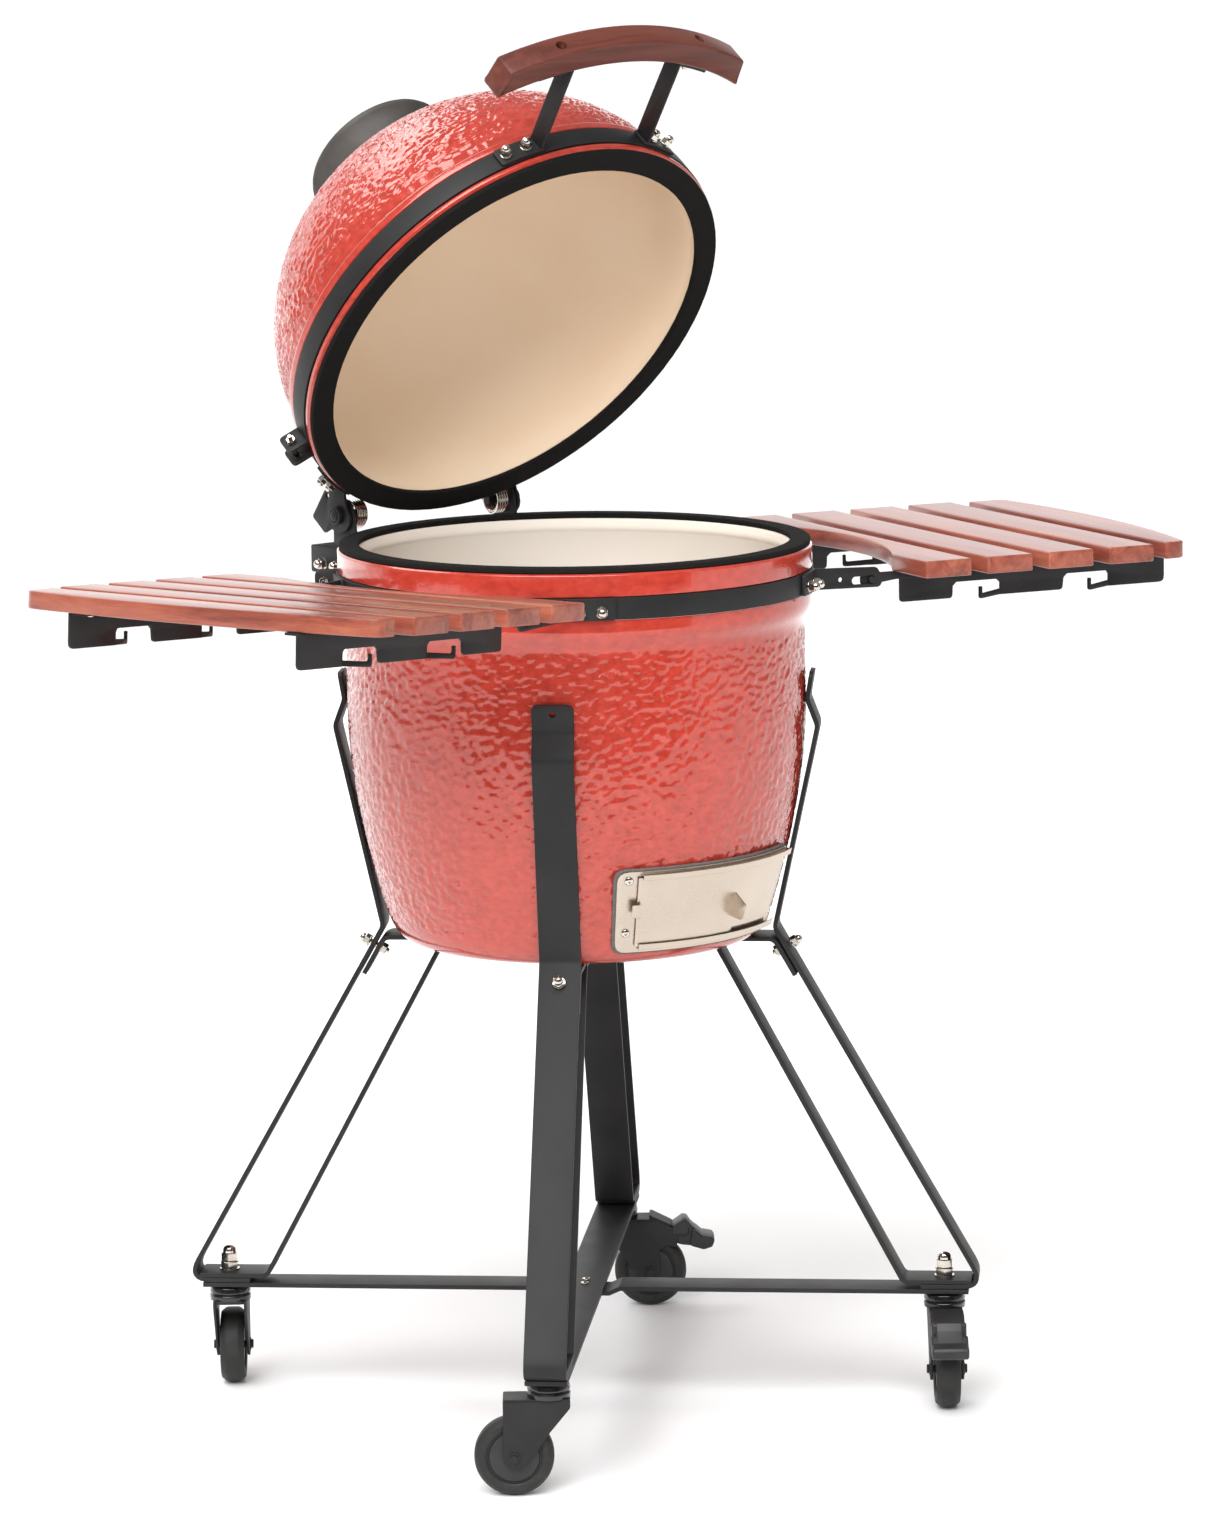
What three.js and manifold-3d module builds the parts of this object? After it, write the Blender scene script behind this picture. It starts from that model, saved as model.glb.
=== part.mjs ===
// Kamado ceramic grill: a bowl and a hinged dome on a four-caster stand, with two folding side shelves.
// Millimetres, +Z up, front towards -Y. Plan angles are in degrees from the front towards the right (+X).
// The lid stands open and the left shelf sits slightly above level, as the grill stands ready for use.
import * as THREE from "three";
import { mergeVertices } from "three/addons/utils/BufferGeometryUtils.js";
import Module from "manifold-3d";

const wasm = await Module();
wasm.setup();

// Ceramic shells
const SEGMENTS = 32; // facets round every turned ceramic part
const CONE_SEGMENTS = 56; // facets round the cone the draft door lies on
const HOLE_SIDES = 10; // facets round holes and pins
const RIM_RADIUS = 231;
const RIM_INNER = 209.6;
const GROOVE_RADIUS = 228.6;
const BOWL_BOTTOM = 466.6;
const BOWL_TOP = 850.3;
const FELT = 5;
const FELT_OUTER = 229.4;
const GAP = 0.3; // left between pieces that touch
const LID_BOTTOM = 861.2; // with the lid closed
const DOME_SHOULDER_RADIUS = 222.6;
const DOME_SHOULDER = 912.3;
const DOME_RISE = 177.4;
const DOME_WALL = 21;
const VENT_BORE = 46;

// Bands and hinge
const BAND_INNER = 229;
const BAND_OUTER = 232;
const BAND_HEIGHT = 21;
const BASE_BAND_BOTTOM = 806.8;
const LID_BAND_BOTTOM = 868.6;
const BRACKET_INNER = 232.5;
const BRACKET_OUTER = 235.5;
const PIVOT_Y = 235.4;
const PIVOT_Z = 868;
const LID_OPEN = 53;
const LID_EAR_X = 107;
const BASE_EAR_X = 101.5;
const SHEET = 3;

// Handle, in the closed lid's frame
const HANDLE_CENTRE_Y = -3;
const HANDLE_OUTER = 346.6;
const HANDLE_INNER = 321.5;
const HANDLE_BOTTOM = 872.4;
const HANDLE_HEIGHT = 27.8;
const HANDLE_SCREW_X = 85;
const STRAP_X = 66;

// Stand
const BAR = 4.5;
const BAR_WIDTH = 40;
const BEND = 5;
const BASE_BAR_Z = 111.75; // middle of the crossed base bars
const STEM_RADIUS_OUT = 355.8;
const STEM = 5;
const LEG_FOOT = [396, 116.6];
const LEG_KNEE = [192.6, 475.4];
const LEG_OUT = [236, 674.6];
const LEG_TOUCH = [226.3, 700.5];
const LEG_TOP = [230.7, 727.1];
const CRADLE_Z = 464;
const STRUT_FOOT_Z = 121.4;

// Casters
const WHEEL_RADIUS = 38;
const WHEEL_WIDTH = 25;
const WHEEL_OFFSET = 33;
const AXLE = 4;

// Side shelves, in each shelf's own frame: x outwards from the bowl axis, y along the slats
const SHELF_SPLAY = 14.2;
const LEFT_SHELF_TILT = 3.7;
const SLAT_START = 273;
const SLAT_WIDTH = 50.3;
const SLAT_PITCH = 67.7;
const SLAT_FRONT = -212.6;
const SLAT_BACK = 203.3;
const SLAT_TOP = 838;
const SLAT_THICK = 16.6;
const BOWL_CLEARANCE = 308; // radius of the arc cut into the first slat
const OUTER_ARC = 1000;
const OUTER_CORNER = 14;
const ARM_FRONT_Y = -131.5;
const ARM_BACK_Y = 141.5;
const ARM_SHEET = 3;
const SHELF_PIN = [255.5, 813];

// Draft door: sheets on a cone that follows the lower bowl
const DRAFT_MIDDLE = 1.5; // degrees
const CONE_BASE = [188.8, 482];
const CONE_SLOPE = 0.285;
const DRAFT_BOTTOM = 481;
const DRAFT_TOP = 563;
const DRAFT_HALF_ANGLE = 31;
const DRAFT_SHEET = 1.5;
const DOOR_SETBACK = 3.4;
const DOOR_SHEET = 1.2;

const degrees = THREE.MathUtils.degToRad;

// Materials
const paint = (color, roughness, metalness = 0) =>
  new THREE.MeshStandardMaterial({ color, roughness, metalness });
const glaze = paint(0xd8483c, 0.2);
const fireclay = paint(0xe6dcc8, 0.85);
const felt = paint(0x1c1b1a, 0.95);
const blackSteel = paint(0x222122, 0.45, 0.4);
const stainless = paint(0xc9c2b6, 0.25, 1);
const springSteel = paint(0xb9b4aa, 0.3, 1);
const castIron = paint(0x4a4643, 0.6, 0.6);
const slatWood = paint(0xa4564a, 0.5);
const handleWood = paint(0x7c3c34, 0.45);
const tread = paint(0x26262a, 0.7);
const plastic = paint(0x1f1f20, 0.5);

// Solids
function solid(geometry) {
  const bare = geometry.clone();
  bare.deleteAttribute("normal");
  bare.deleteAttribute("uv");
  const merged = mergeVertices(bare, 1e-3);
  const triangles = [];
  for (let i = 0; i < merged.index.count; i += 3) {
    const [a, b, c] = [0, 1, 2].map((k) => merged.index.getX(i + k));
    if (a !== b && b !== c && c !== a) triangles.push(a, b, c);
  }
  return new wasm.Manifold(new wasm.Mesh({
    numProp: 3,
    vertProperties: new Float32Array(merged.attributes.position.array),
    triVerts: new Uint32Array(triangles),
  }));
}

function geometryOf(body) {
  const mesh = body.getMesh();
  const geometry = new THREE.BufferGeometry();
  geometry.setAttribute("position", new THREE.BufferAttribute(mesh.vertProperties, 3));
  geometry.setIndex(new THREE.BufferAttribute(mesh.triVerts, 1));
  return geometry;
}

const join = (...parts) => geometryOf(parts.map(solid).reduce((whole, part) => whole.add(part)));
const cut = (part, ...tools) =>
  geometryOf(tools.map(solid).reduce((whole, tool) => whole.subtract(tool), solid(part)));
const common = (part, tool) => geometryOf(solid(part).intersect(solid(tool)));

const box = (w, d, h, x, y, z) => new THREE.BoxGeometry(w, d, h).translate(x, y, z);

function post(radius, from, to, x, y, sides = HOLE_SIDES) {
  return new THREE.CylinderGeometry(radius, radius, to - from, sides).rotateX(Math.PI / 2)
    .translate(x, y, (from + to) / 2);
}

// A cylinder lying along X, or along Y
const pinX = (radius, from, to, y, z, sides = HOLE_SIDES) =>
  new THREE.CylinderGeometry(radius, radius, to - from, sides).rotateZ(Math.PI / 2)
    .translate((from + to) / 2, y, z);
const pinY = (radius, from, to, x, z, sides = HOLE_SIDES) =>
  new THREE.CylinderGeometry(radius, radius, to - from, sides).translate(x, (from + to) / 2, z);

// Turns a closed [radius, height] outline about the vertical axis
function turned(outline, segments = SEGMENTS) {
  const points = outline.map(([r, z]) => new THREE.Vector2(r, z));
  if (THREE.ShapeUtils.area(points) < 0) points.reverse();
  if (outline[0][0] > 0) points.push(points[0].clone());
  return geometryOf(solid(new THREE.LatheGeometry(points, segments).rotateX(Math.PI / 2)));
}

// A plate cut to an outline in plan, from one height to another
function planPlate(shape, bottom, height, curveSegments = 8) {
  return new THREE.ExtrudeGeometry(shape, { depth: height, bevelEnabled: false, curveSegments })
    .translate(0, 0, bottom);
}

// A curved plate between two radii and two plan angles
function arcPlate(inner, outer, from, to, bottom, height, curveSegments = 3) {
  const [a, b] = [from, to].map((angle) => degrees(angle - 90));
  const shape = new THREE.Shape();
  shape.absarc(0, 0, outer, a, b, false);
  shape.absarc(0, 0, inner, b, a, true);
  return planPlate(shape, bottom, height, curveSegments);
}

// A plate in an X-Z plane, from an outline of [x, z] points, between two places along Y
function sidePlate(outline, fromY, toY) {
  const shape = new THREE.Shape(outline.map(([x, z]) => new THREE.Vector2(x, z)));
  return new THREE.ExtrudeGeometry(shape, { depth: toY - fromY, bevelEnabled: false })
    .rotateX(Math.PI / 2).translate(0, toY, 0);
}

// A plate in a Y-Z plane, between two places along X
function endPlate(outline, fromX, toX) {
  return sidePlate(outline, -toX, -fromX).rotateZ(Math.PI / 2);
}

// Replaces each corner of a path by a short curve
function rounded(path, radius) {
  const points = path.map(([x, z]) => new THREE.Vector2(x, z));
  const line = [points[0]];
  for (let i = 1; i < points.length - 1; i += 1) {
    const toward = (other) => other.clone().sub(points[i]).normalize();
    const [before, after] = [toward(points[i - 1]), toward(points[i + 1])];
    const reach = radius / Math.tan(before.angleTo(after) / 2);
    const start = points[i].clone().addScaledVector(before, reach);
    const end = points[i].clone().addScaledVector(after, reach);
    line.push(...new THREE.QuadraticBezierCurve(start, points[i], end).getPoints(2));
  }
  line.push(points.at(-1));
  return line;
}

// A flat bar bent along a path of [x, z] points on its middle line
function bentBar(path, width = BAR_WIDTH, thickness = BAR, radius = BEND) {
  const line = rounded(path, radius);
  const upper = [];
  const lower = [];
  line.forEach((point, i) => {
    const before = i > 0 ? point.clone().sub(line[i - 1]).normalize() : null;
    const after = i < line.length - 1 ? line[i + 1].clone().sub(point).normalize() : null;
    const first = before ?? after;
    const along = first.clone().add(after ?? before).normalize();
    const across = new THREE.Vector2(-along.y, along.x);
    const reach = thickness / 2 / across.dot(new THREE.Vector2(-first.y, first.x));
    upper.push(point.clone().addScaledVector(across, reach).toArray());
    lower.push(point.clone().addScaledVector(across, -reach).toArray());
  });
  return sidePlate([...upper, ...lower.reverse()], -width / 2, width / 2);
}

const mirrored = (path) => [...path, ...path.map(([x, z]) => [-x, z]).reverse()];

const grill = new THREE.Group();

function add(parent, name, geometry, material) {
  const mesh = new THREE.Mesh(geometry, material);
  mesh.name = name;
  parent.add(mesh);
  return mesh;
}

function subgroup(parent, rotationZ = 0, x = 0, y = 0, z = 0) {
  const group = new THREE.Group();
  group.rotation.z = degrees(rotationZ);
  group.position.set(x, y, z);
  parent.add(group);
  return group;
}

// Bowl
const lowerWall = new THREE.CubicBezierCurve(
  new THREE.Vector2(186, 487), new THREE.Vector2(198, 527),
  new THREE.Vector2(223.4, 610), new THREE.Vector2(223.4, 700),
).getPoints(5).map((point) => point.toArray());

function bowl() {
  const shell = turned([
    [0, BOWL_BOTTOM], [160, BOWL_BOTTOM], [173, 470], [182, 478], ...lowerWall,
    [222.5, 772], [230.5, 799], [230.5, 805], [GROOVE_RADIUS, 806], [GROOVE_RADIUS, 829],
    [RIM_RADIUS, 830], [RIM_RADIUS, 848.3], [229.4, BOWL_TOP],
    [RIM_INNER, BOWL_TOP], [203.5, 780], [201, 700], [194, 600], [183, 540], [168, 503], [150, 490], [0, 490],
  ]);
  const draftHole = arcPlate(140, 240, DRAFT_MIDDLE - 20, DRAFT_MIDDLE + 20, 498, 47, 6);
  return cut(shell, draftHole);
}
add(grill, "bowl", bowl(), glaze);

function gasket(inner, bottom) {
  return turned([
    [inner, bottom], [FELT_OUTER, bottom], [FELT_OUTER, bottom + FELT], [inner, bottom + FELT],
  ]);
}
add(grill, "base_gasket", gasket(RIM_INNER, BOWL_TOP + GAP), felt);

// A steel band whose two ends are turned out into lugs and drawn together
const LUG_REACH = 23.5;
function band(bottom, lugAngle, lugGap) {
  const ring = turned([
    [BAND_INNER, bottom], [BAND_OUTER, bottom],
    [BAND_OUTER, bottom + BAND_HEIGHT], [BAND_INNER, bottom + BAND_HEIGHT],
  ]);
  const middle = bottom + BAND_HEIGHT / 2;
  const lug = (y) => box(LUG_REACH, SHEET, BAND_HEIGHT, BAND_INNER + 0.5 + LUG_REACH / 2, y, middle);
  const turn = degrees(lugAngle - 90);
  const side = lugGap / 2 + SHEET / 2;
  const slit = box(20, lugGap, BAND_HEIGHT + 2, BAND_OUTER, 0, middle).rotateZ(turn);
  return cut(join(ring, lug(side).rotateZ(turn), lug(-side).rotateZ(turn)), slit);
}
add(grill, "base_band", band(BASE_BAND_BOTTOM, -131, 9), blackSteel);

// Inside the bowl
function fireBowl() {
  const shell = turned([
    [60, 490.6], [148, 490.6], [160, 503], [175, 545], [192, 690],
    [172, 690], [148, 545], [118, 518], [60, 518],
  ]);
  return cut(shell, arcPlate(100, 220, -16, 16, 496, 15, 4));
}
add(grill, "fire_bowl", fireBowl(), fireclay);
add(grill, "fire_ring", turned([[172, 690.6], [192, 690.6], [195.3, 795.5], [175.3, 795.5]]), fireclay);

function charcoalGrate() {
  const plate = turned([[0, 518.6], [98, 518.6], [98, 525], [0, 525]], 24);
  const slots = [];
  for (let i = 0; i < 10; i += 1) slots.push(box(52, 11, 20, 58, 0, 522).rotateZ((i * Math.PI) / 5));
  return cut(plate, ...slots);
}
add(grill, "charcoal_grate", charcoalGrate(), castIron);

const GRATE_Z = 800.5;
const GRATE_RADIUS = 193;
const ROD_SPREAD = 160;
const ROD_PITCH = 20;
function cookingGrate() {
  const hoop = turned([
    [GRATE_RADIUS - 6, GRATE_Z - 4.4], [GRATE_RADIUS, GRATE_Z - 4.4], [GRATE_RADIUS, GRATE_Z + 1.6],
    [GRATE_RADIUS - 6, GRATE_Z + 1.6],
  ]);
  const rods = [];
  for (let y = -ROD_SPREAD; y <= ROD_SPREAD; y += ROD_PITCH) {
    const reach = 2 * Math.sqrt((GRATE_RADIUS - 3) ** 2 - y ** 2);
    rods.push(box(reach, 4, 4, 0, y, GRATE_Z + 2));
  }
  for (const x of [-75, 75]) rods.push(box(5, 350, 5, x, 0, GRATE_Z - 1.5));
  return join(hoop, ...rods);
}
add(grill, "cooking_grate", cookingGrate(), stainless);

// Draft frame and its sliding door, on the cone
const coneRadius = (z, out) => CONE_BASE[0] + (z - CONE_BASE[1]) * CONE_SLOPE + out;
const coneOutline = (rows) => rows.map(([out, z]) => [coneRadius(z, out), z]);
const wedge = (from, to) => arcPlate(100, 260, from, to, 440, 180, 6);
const LIP = 6.9; // how far the rails that hold the door stand off the cone
const LIP_SHEET = 1.3;
const draftWindow = arcPlate(140, 209.5, DRAFT_MIDDLE - 19.5, DRAFT_MIDDLE + 19.5, 499, 45, 6);

// Felt between the frame and the bowl
function draftGasket() {
  const [bottom, top] = [DRAFT_BOTTOM - 1, DRAFT_TOP + 1.5];
  const pad = turned(coneOutline([[-3.6, bottom], [-GAP, bottom], [-GAP, top], [-3.6, top]]), CONE_SEGMENTS);
  return cut(common(pad, wedge(DRAFT_MIDDLE - 31.6, DRAFT_MIDDLE + 31.6)), draftWindow);
}
add(grill, "draft_gasket", draftGasket(), felt);

function draftFrame() {
  const shell = turned(coneOutline([
    [0, DRAFT_BOTTOM], [DRAFT_SHEET, DRAFT_BOTTOM], [DRAFT_SHEET, 484], [LIP, 484], [LIP, 491],
    [LIP - LIP_SHEET, 491], [LIP - LIP_SHEET, 486], [DRAFT_SHEET, 486], [DRAFT_SHEET, 558],
    [LIP - LIP_SHEET, 558], [LIP - LIP_SHEET, 554], [LIP, 554], [LIP, 560], [DRAFT_SHEET, 560],
    [DRAFT_SHEET, DRAFT_TOP], [0, DRAFT_TOP],
  ]), CONE_SEGMENTS);
  const plate = common(shell, wedge(DRAFT_MIDDLE - DRAFT_HALF_ANGLE, DRAFT_MIDDLE + DRAFT_HALF_ANGLE));
  const railEnd = common(
    turned(coneOutline([[DRAFT_SHEET, 470], [20, 470], [20, 580], [DRAFT_SHEET, 580]]), CONE_SEGMENTS),
    wedge(DRAFT_MIDDLE - 36, DRAFT_MIDDLE - 24.5),
  );
  return cut(plate, draftWindow, railEnd);
}
add(grill, "draft_frame", draftFrame(), stainless);

function draftDoor() {
  const outside = DOOR_SETBACK + DOOR_SHEET;
  const shell = turned(coneOutline([
    [DOOR_SETBACK, 487], [outside, 487], [outside, 557], [DOOR_SETBACK, 557],
  ]), CONE_SEGMENTS);
  const sheet = common(shell, wedge(-24, 27.5));
  const vent = arcPlate(150, 240, 8.2, 25.3, 480, 15, 3);
  const tab = (angle, bottom, top, reach) => {
    const root = DOOR_SETBACK + 0.2;
    const outline = coneOutline([[root, bottom], [reach, bottom - 4], [reach, top - 9], [root, top]]);
    return sidePlate(outline, -0.8, 0.8).rotateZ(degrees(angle - 90));
  };
  return join(cut(sheet, vent), tab(7, 507, 531, 22), tab(-23.4, 517, 532, 9.5));
}
add(grill, "draft_door", draftDoor(), stainless);

// Crossed base bars: the front-left to back-right bar lies over the other one, which dips beneath it
const stemHole = (from, to) => post(STEM + 0.6, from, to, STEM_RADIUS_OUT, 0);
const footHoles = [stemHole(100, 140), stemHole(100, 140).rotateZ(Math.PI)];
const BASE_BAR_END = 380;
const straightBar = bentBar([[-BASE_BAR_END, BASE_BAR_Z], [BASE_BAR_END, BASE_BAR_Z]]);
const dippedBar = bentBar(mirrored([
  [-BASE_BAR_END, BASE_BAR_Z], [-36, BASE_BAR_Z], [-25, BASE_BAR_Z - BAR - 0.4],
]), BAR_WIDTH, BAR, 3);
add(subgroup(grill, 45), "base_bar_front_left", cut(straightBar, ...footHoles), blackSteel);
add(subgroup(grill, 135), "base_bar_front_right", cut(dippedBar, ...footHoles), blackSteel);

// Four bent legs
const legPath = [[333, LEG_FOOT[1]], LEG_FOOT, LEG_KNEE, LEG_OUT, LEG_TOUCH, LEG_TOP];
const leg = cut(
  bentBar(legPath), stemHole(100, 140), pinX(3, LEG_TOP[0] - 11, LEG_TOP[0] + 9, 0, LEG_TOP[1] - 9),
);
const corners = { front_left: 225, front_right: 315, back_right: 45, back_left: 135 };
for (const [corner, azimuth] of Object.entries(corners)) {
  add(subgroup(grill, azimuth), `leg_${corner}`, leg, blackSteel);
}

// Two welded cradle frames: a bar under the bowl with turned-down ends, and struts down to their feet
const inwardOfLeg = (z) => LEG_KNEE[0] - 4.2 + (LEG_KNEE[1] - z) * 0.567 - 3;
const strutRadius = (z) => 316 - (z - STRUT_FOOT_Z) * 0.537;
function cradle(dip) {
  const halfBar = [[-inwardOfLeg(428), 428], [-inwardOfLeg(CRADLE_Z), CRADLE_Z]];
  if (dip) halfBar.push([-38, CRADLE_Z], [-26, CRADLE_Z - BAR - 0.4]);
  const bar = bentBar(mirrored(halfBar), BAR_WIDTH, BAR, 3);
  const underside = CRADLE_Z - BAR;
  const strut = cut(
    bentBar([
      [84, underside + 0.2], [strutRadius(underside), underside + 0.2],
      [316, STRUT_FOOT_Z], [383, STRUT_FOOT_Z],
    ]),
    join(
      post(STEM + 1.2, 100, 140, STEM_RADIUS_OUT - 7, 0), post(STEM + 1.2, 100, 140, STEM_RADIUS_OUT + 7, 0),
      box(14, 2 * STEM + 2.4, 20, STEM_RADIUS_OUT, 0, 120),
    ),
  );
  return join(bar, strut, strut.clone().rotateZ(Math.PI));
}
add(subgroup(grill, 45), "cradle_front_left", cradle(false), blackSteel);
add(subgroup(grill, 135), "cradle_front_right", cradle(true), blackSteel);

// Casters, in a frame with the stem on the origin and the wheel towards +X
const WHEEL_FACETS = 20;
const wheel = turned([
  [AXLE + 0.6, -11], [33, -WHEEL_WIDTH / 2], [WHEEL_RADIUS, -6], [WHEEL_RADIUS, 6],
  [33, WHEEL_WIDTH / 2], [AXLE + 0.6, 11],
], WHEEL_FACETS).rotateX(Math.PI / 2).rotateY(Math.PI / WHEEL_FACETS)
  .translate(WHEEL_OFFSET, 0, WHEEL_RADIUS);

const PLATE_INSIDE = 14;
const PLATE_OUTSIDE = 16.6;
const PEDAL_PIVOT = [58, 75];
const plainSide = [
  [-20, 93], [-20, 86], [0.6, 61], [13, 42], [21, 32], [28, 27], [37, 27], [43, 33], [43, 93],
];
const brakedSide = [
  [-20, 93], [-20, 86], [0.6, 61], [13, 42], [21, 32], [28, 27], [37, 27], [43, 33], [42, 62], [50, 66],
  [61, 64], [62, 82], [40, 93],
];
function fork(braked) {
  const outline = braked ? brakedSide : plainSide;
  const reach = braked ? 40 : 43;
  const parts = [
    sidePlate(outline, PLATE_INSIDE, PLATE_OUTSIDE), sidePlate(outline, -PLATE_OUTSIDE, -PLATE_INSIDE),
    box(reach + 20, 2 * PLATE_OUTSIDE, 3, (reach - 20) / 2, 0, 91.5),
    turned([
      [0, 92], [20.5, 94], [20.5, 99], [18, 100.5], [20.5, 102], [19, 108.8], [STEM, 108.8],
      [STEM, 131], [0, 131],
    ], 12),
    pinY(AXLE, -20, 20, WHEEL_OFFSET, WHEEL_RADIUS),
  ];
  return join(...parts);
}

function brakePedal() {
  const [x, z] = PEDAL_PIVOT;
  const outline = [
    [x - 4, z - 5], [x + 8, z - 9], [x + 18, z - 10], [x + 31, z - 14], [x + 40, z - 11], [x + 43, z - 4],
    [x + 40, z], [x + 29, z + 2], [x + 18, z + 12], [x + 13, z + 19], [x + 9, z + 19], [x - 3, z + 11],
  ];
  return join(sidePlate(outline, -13, 13), sidePlate(outline.slice(1, 11), -18, 18));
}

const casters = {
  front_left: { turn: 140.8, braked: false },
  front_right: { turn: -129.3, braked: true },
  back_right: { turn: -39.2, braked: true },
  back_left: { turn: 50.7, braked: false },
};
for (const [corner, { turn, braked }] of Object.entries(casters)) {
  const angle = degrees(corners[corner]);
  const place = subgroup(grill, turn, STEM_RADIUS_OUT * Math.cos(angle), STEM_RADIUS_OUT * Math.sin(angle));
  add(place, `caster_fork_${corner}`, fork(braked), blackSteel);
  add(place, `caster_wheel_${corner}`, wheel, tread);
  if (braked) add(place, `brake_pedal_${corner}`, brakePedal(), plastic);
}

// Side shelves: each bracket is a sheet with two hooks cut in it and a flange turned in under the slats
const RAIL_START = 288.8;
const RAIL_END = 586.7;
const RAIL_TOP = SLAT_TOP - SLAT_THICK - GAP;
const FLANGE = 16;
const FLANGE_SHEET = 2.4;
const HOOK_ROOTS = [400.4, 522.9];
const HOOK_LENGTH = 31;
const HOOK_BEND = 21; // degrees that each hook is bent out of its sheet
const HOOK_TIP = 3.5;
function bracketOutline(side) {
  const full = 788;
  const notch = 803.6;
  const points = [
    [246, 808.5], [264, 808.5], [284, 811], [288.8, 811], [288.8, full + 1], [290, full],
    [345.5, full], [347, full + 1.5],
    [347.6, 800], [351.5, notch], [396.7, notch], [HOOK_ROOTS[0], 800], [HOOK_ROOTS[0], full],
    [468.5, full], [470.5, full + 2], [472, 800], [476, notch], [521, notch],
    [HOOK_ROOTS[1], 800], [HOOK_ROOTS[1], full],
    [584.5, full], [RAIL_END, full + 2], [RAIL_END, RAIL_TOP], [RAIL_START, RAIL_TOP],
    [284, 819], [262, 819], [246, 819],
  ];
  return points.map(([x, z]) => [side * x, z]);
}

function shelfHook(side, y, armSide, root) {
  const tip = root - HOOK_LENGTH;
  const outline = [
    [root + 2, 788.1], [root + 2, 793.8], [tip + HOOK_TIP, 791.8], [tip + HOOK_TIP, 799], [tip, 799],
    [tip, 786.8],
  ];
  return sidePlate(outline.map(([x, z]) => [side * (x - root), z]), -ARM_SHEET / 2 + 0.1, ARM_SHEET / 2 - 0.1)
    .rotateZ(THREE.MathUtils.degToRad(-side * armSide * HOOK_BEND)).translate(side * root, y, 0);
}

function shelfBracket(side, y, armSide) {
  const sheet = sidePlate(bracketOutline(side), y - ARM_SHEET / 2, y + ARM_SHEET / 2);
  const flange = box(RAIL_END - RAIL_START - 2, FLANGE, FLANGE_SHEET, side * (RAIL_START + RAIL_END) / 2,
    y - armSide * FLANGE / 2, RAIL_TOP - FLANGE_SHEET / 2);
  const pin = armSide < 0 ? [y - ARM_SHEET / 2 - 6.5, y] : [y, y + ARM_SHEET / 2 + 6.5];
  const hooks = HOOK_ROOTS.map((root) => shelfHook(side, y, armSide, root));
  return join(sheet, flange, ...hooks, pinY(3.2, ...pin, side * SHELF_PIN[0], SHELF_PIN[1]));
}

// The arm's foot lies along the band, on the side of the arm that faces away from the shelf's middle
function shelfArm(side, y, outward) {
  const arm = [[180, 806.9], [264.8, 805.2], [268, 811], [267, 817], [261.7, 825], [180, 827.6]];
  const plate = sidePlate(arm.map(([x, z]) => [side * x, z]), y - ARM_SHEET / 2, y + ARM_SHEET / 2);
  const slot = join(
    box(18, 10, 7.6, side * 247, y, SHELF_PIN[1]), pinY(3.8, y - 5, y + 5, side * 238, SHELF_PIN[1]),
    pinY(3.8, y - 5, y + 5, side * 256, SHELF_PIN[1]),
  );
  const root = THREE.MathUtils.radToDeg(Math.atan2(y, Math.sqrt(BRACKET_OUTER ** 2 - y ** 2)));
  const ends = side > 0 ? [root + 90, root + 90 + outward * 12] : [-root - 90, -root - 90 - outward * 12];
  const foot = arcPlate(BRACKET_INNER, BRACKET_OUTER, Math.min(...ends), Math.max(...ends),
    BASE_BAND_BOTTOM, BAND_HEIGHT);
  const middle = side * (root + 90);
  const inside = arcPlate(120, BRACKET_INNER, middle - 30, middle + 30, 780, 80, 12);
  return join(cut(plate, inside, slot), foot);
}

function slatShape(side, index) {
  const inner = SLAT_START + index * SLAT_PITCH;
  const outer = inner + SLAT_WIDTH;
  const points = [];
  if (index === 0) {
    const reach = Math.acos(SLAT_START / BOWL_CLEARANCE);
    points.push([inner, SLAT_FRONT]);
    for (let i = 0; i <= 10; i += 1) {
      const angle = reach * (i / 5 - 1);
      points.push([BOWL_CLEARANCE * Math.cos(angle), BOWL_CLEARANCE * Math.sin(angle)]);
    }
    points.push([inner, SLAT_BACK], [outer, SLAT_BACK], [outer, SLAT_FRONT]);
  } else if (index === 4) {
    const bow = (y) => outer + 2 - (y - 40) ** 2 / (2 * OUTER_ARC);
    const [front, back] = [SLAT_FRONT + 8, SLAT_BACK - 8];
    points.push([inner, front], [inner, back], [bow(back) - OUTER_CORNER, back]);
    for (let i = 0; i <= 10; i += 1) {
      const y = back - 10 - ((back - front - 20) * i) / 10;
      points.push([bow(y), y]);
    }
    points.push([bow(front) - OUTER_CORNER, front]);
  } else {
    points.push([inner, SLAT_FRONT], [inner, SLAT_BACK], [outer, SLAT_BACK], [outer, SLAT_FRONT]);
  }
  return new THREE.Shape(points.map(([x, y]) => new THREE.Vector2(side * x, y)));
}

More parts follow.
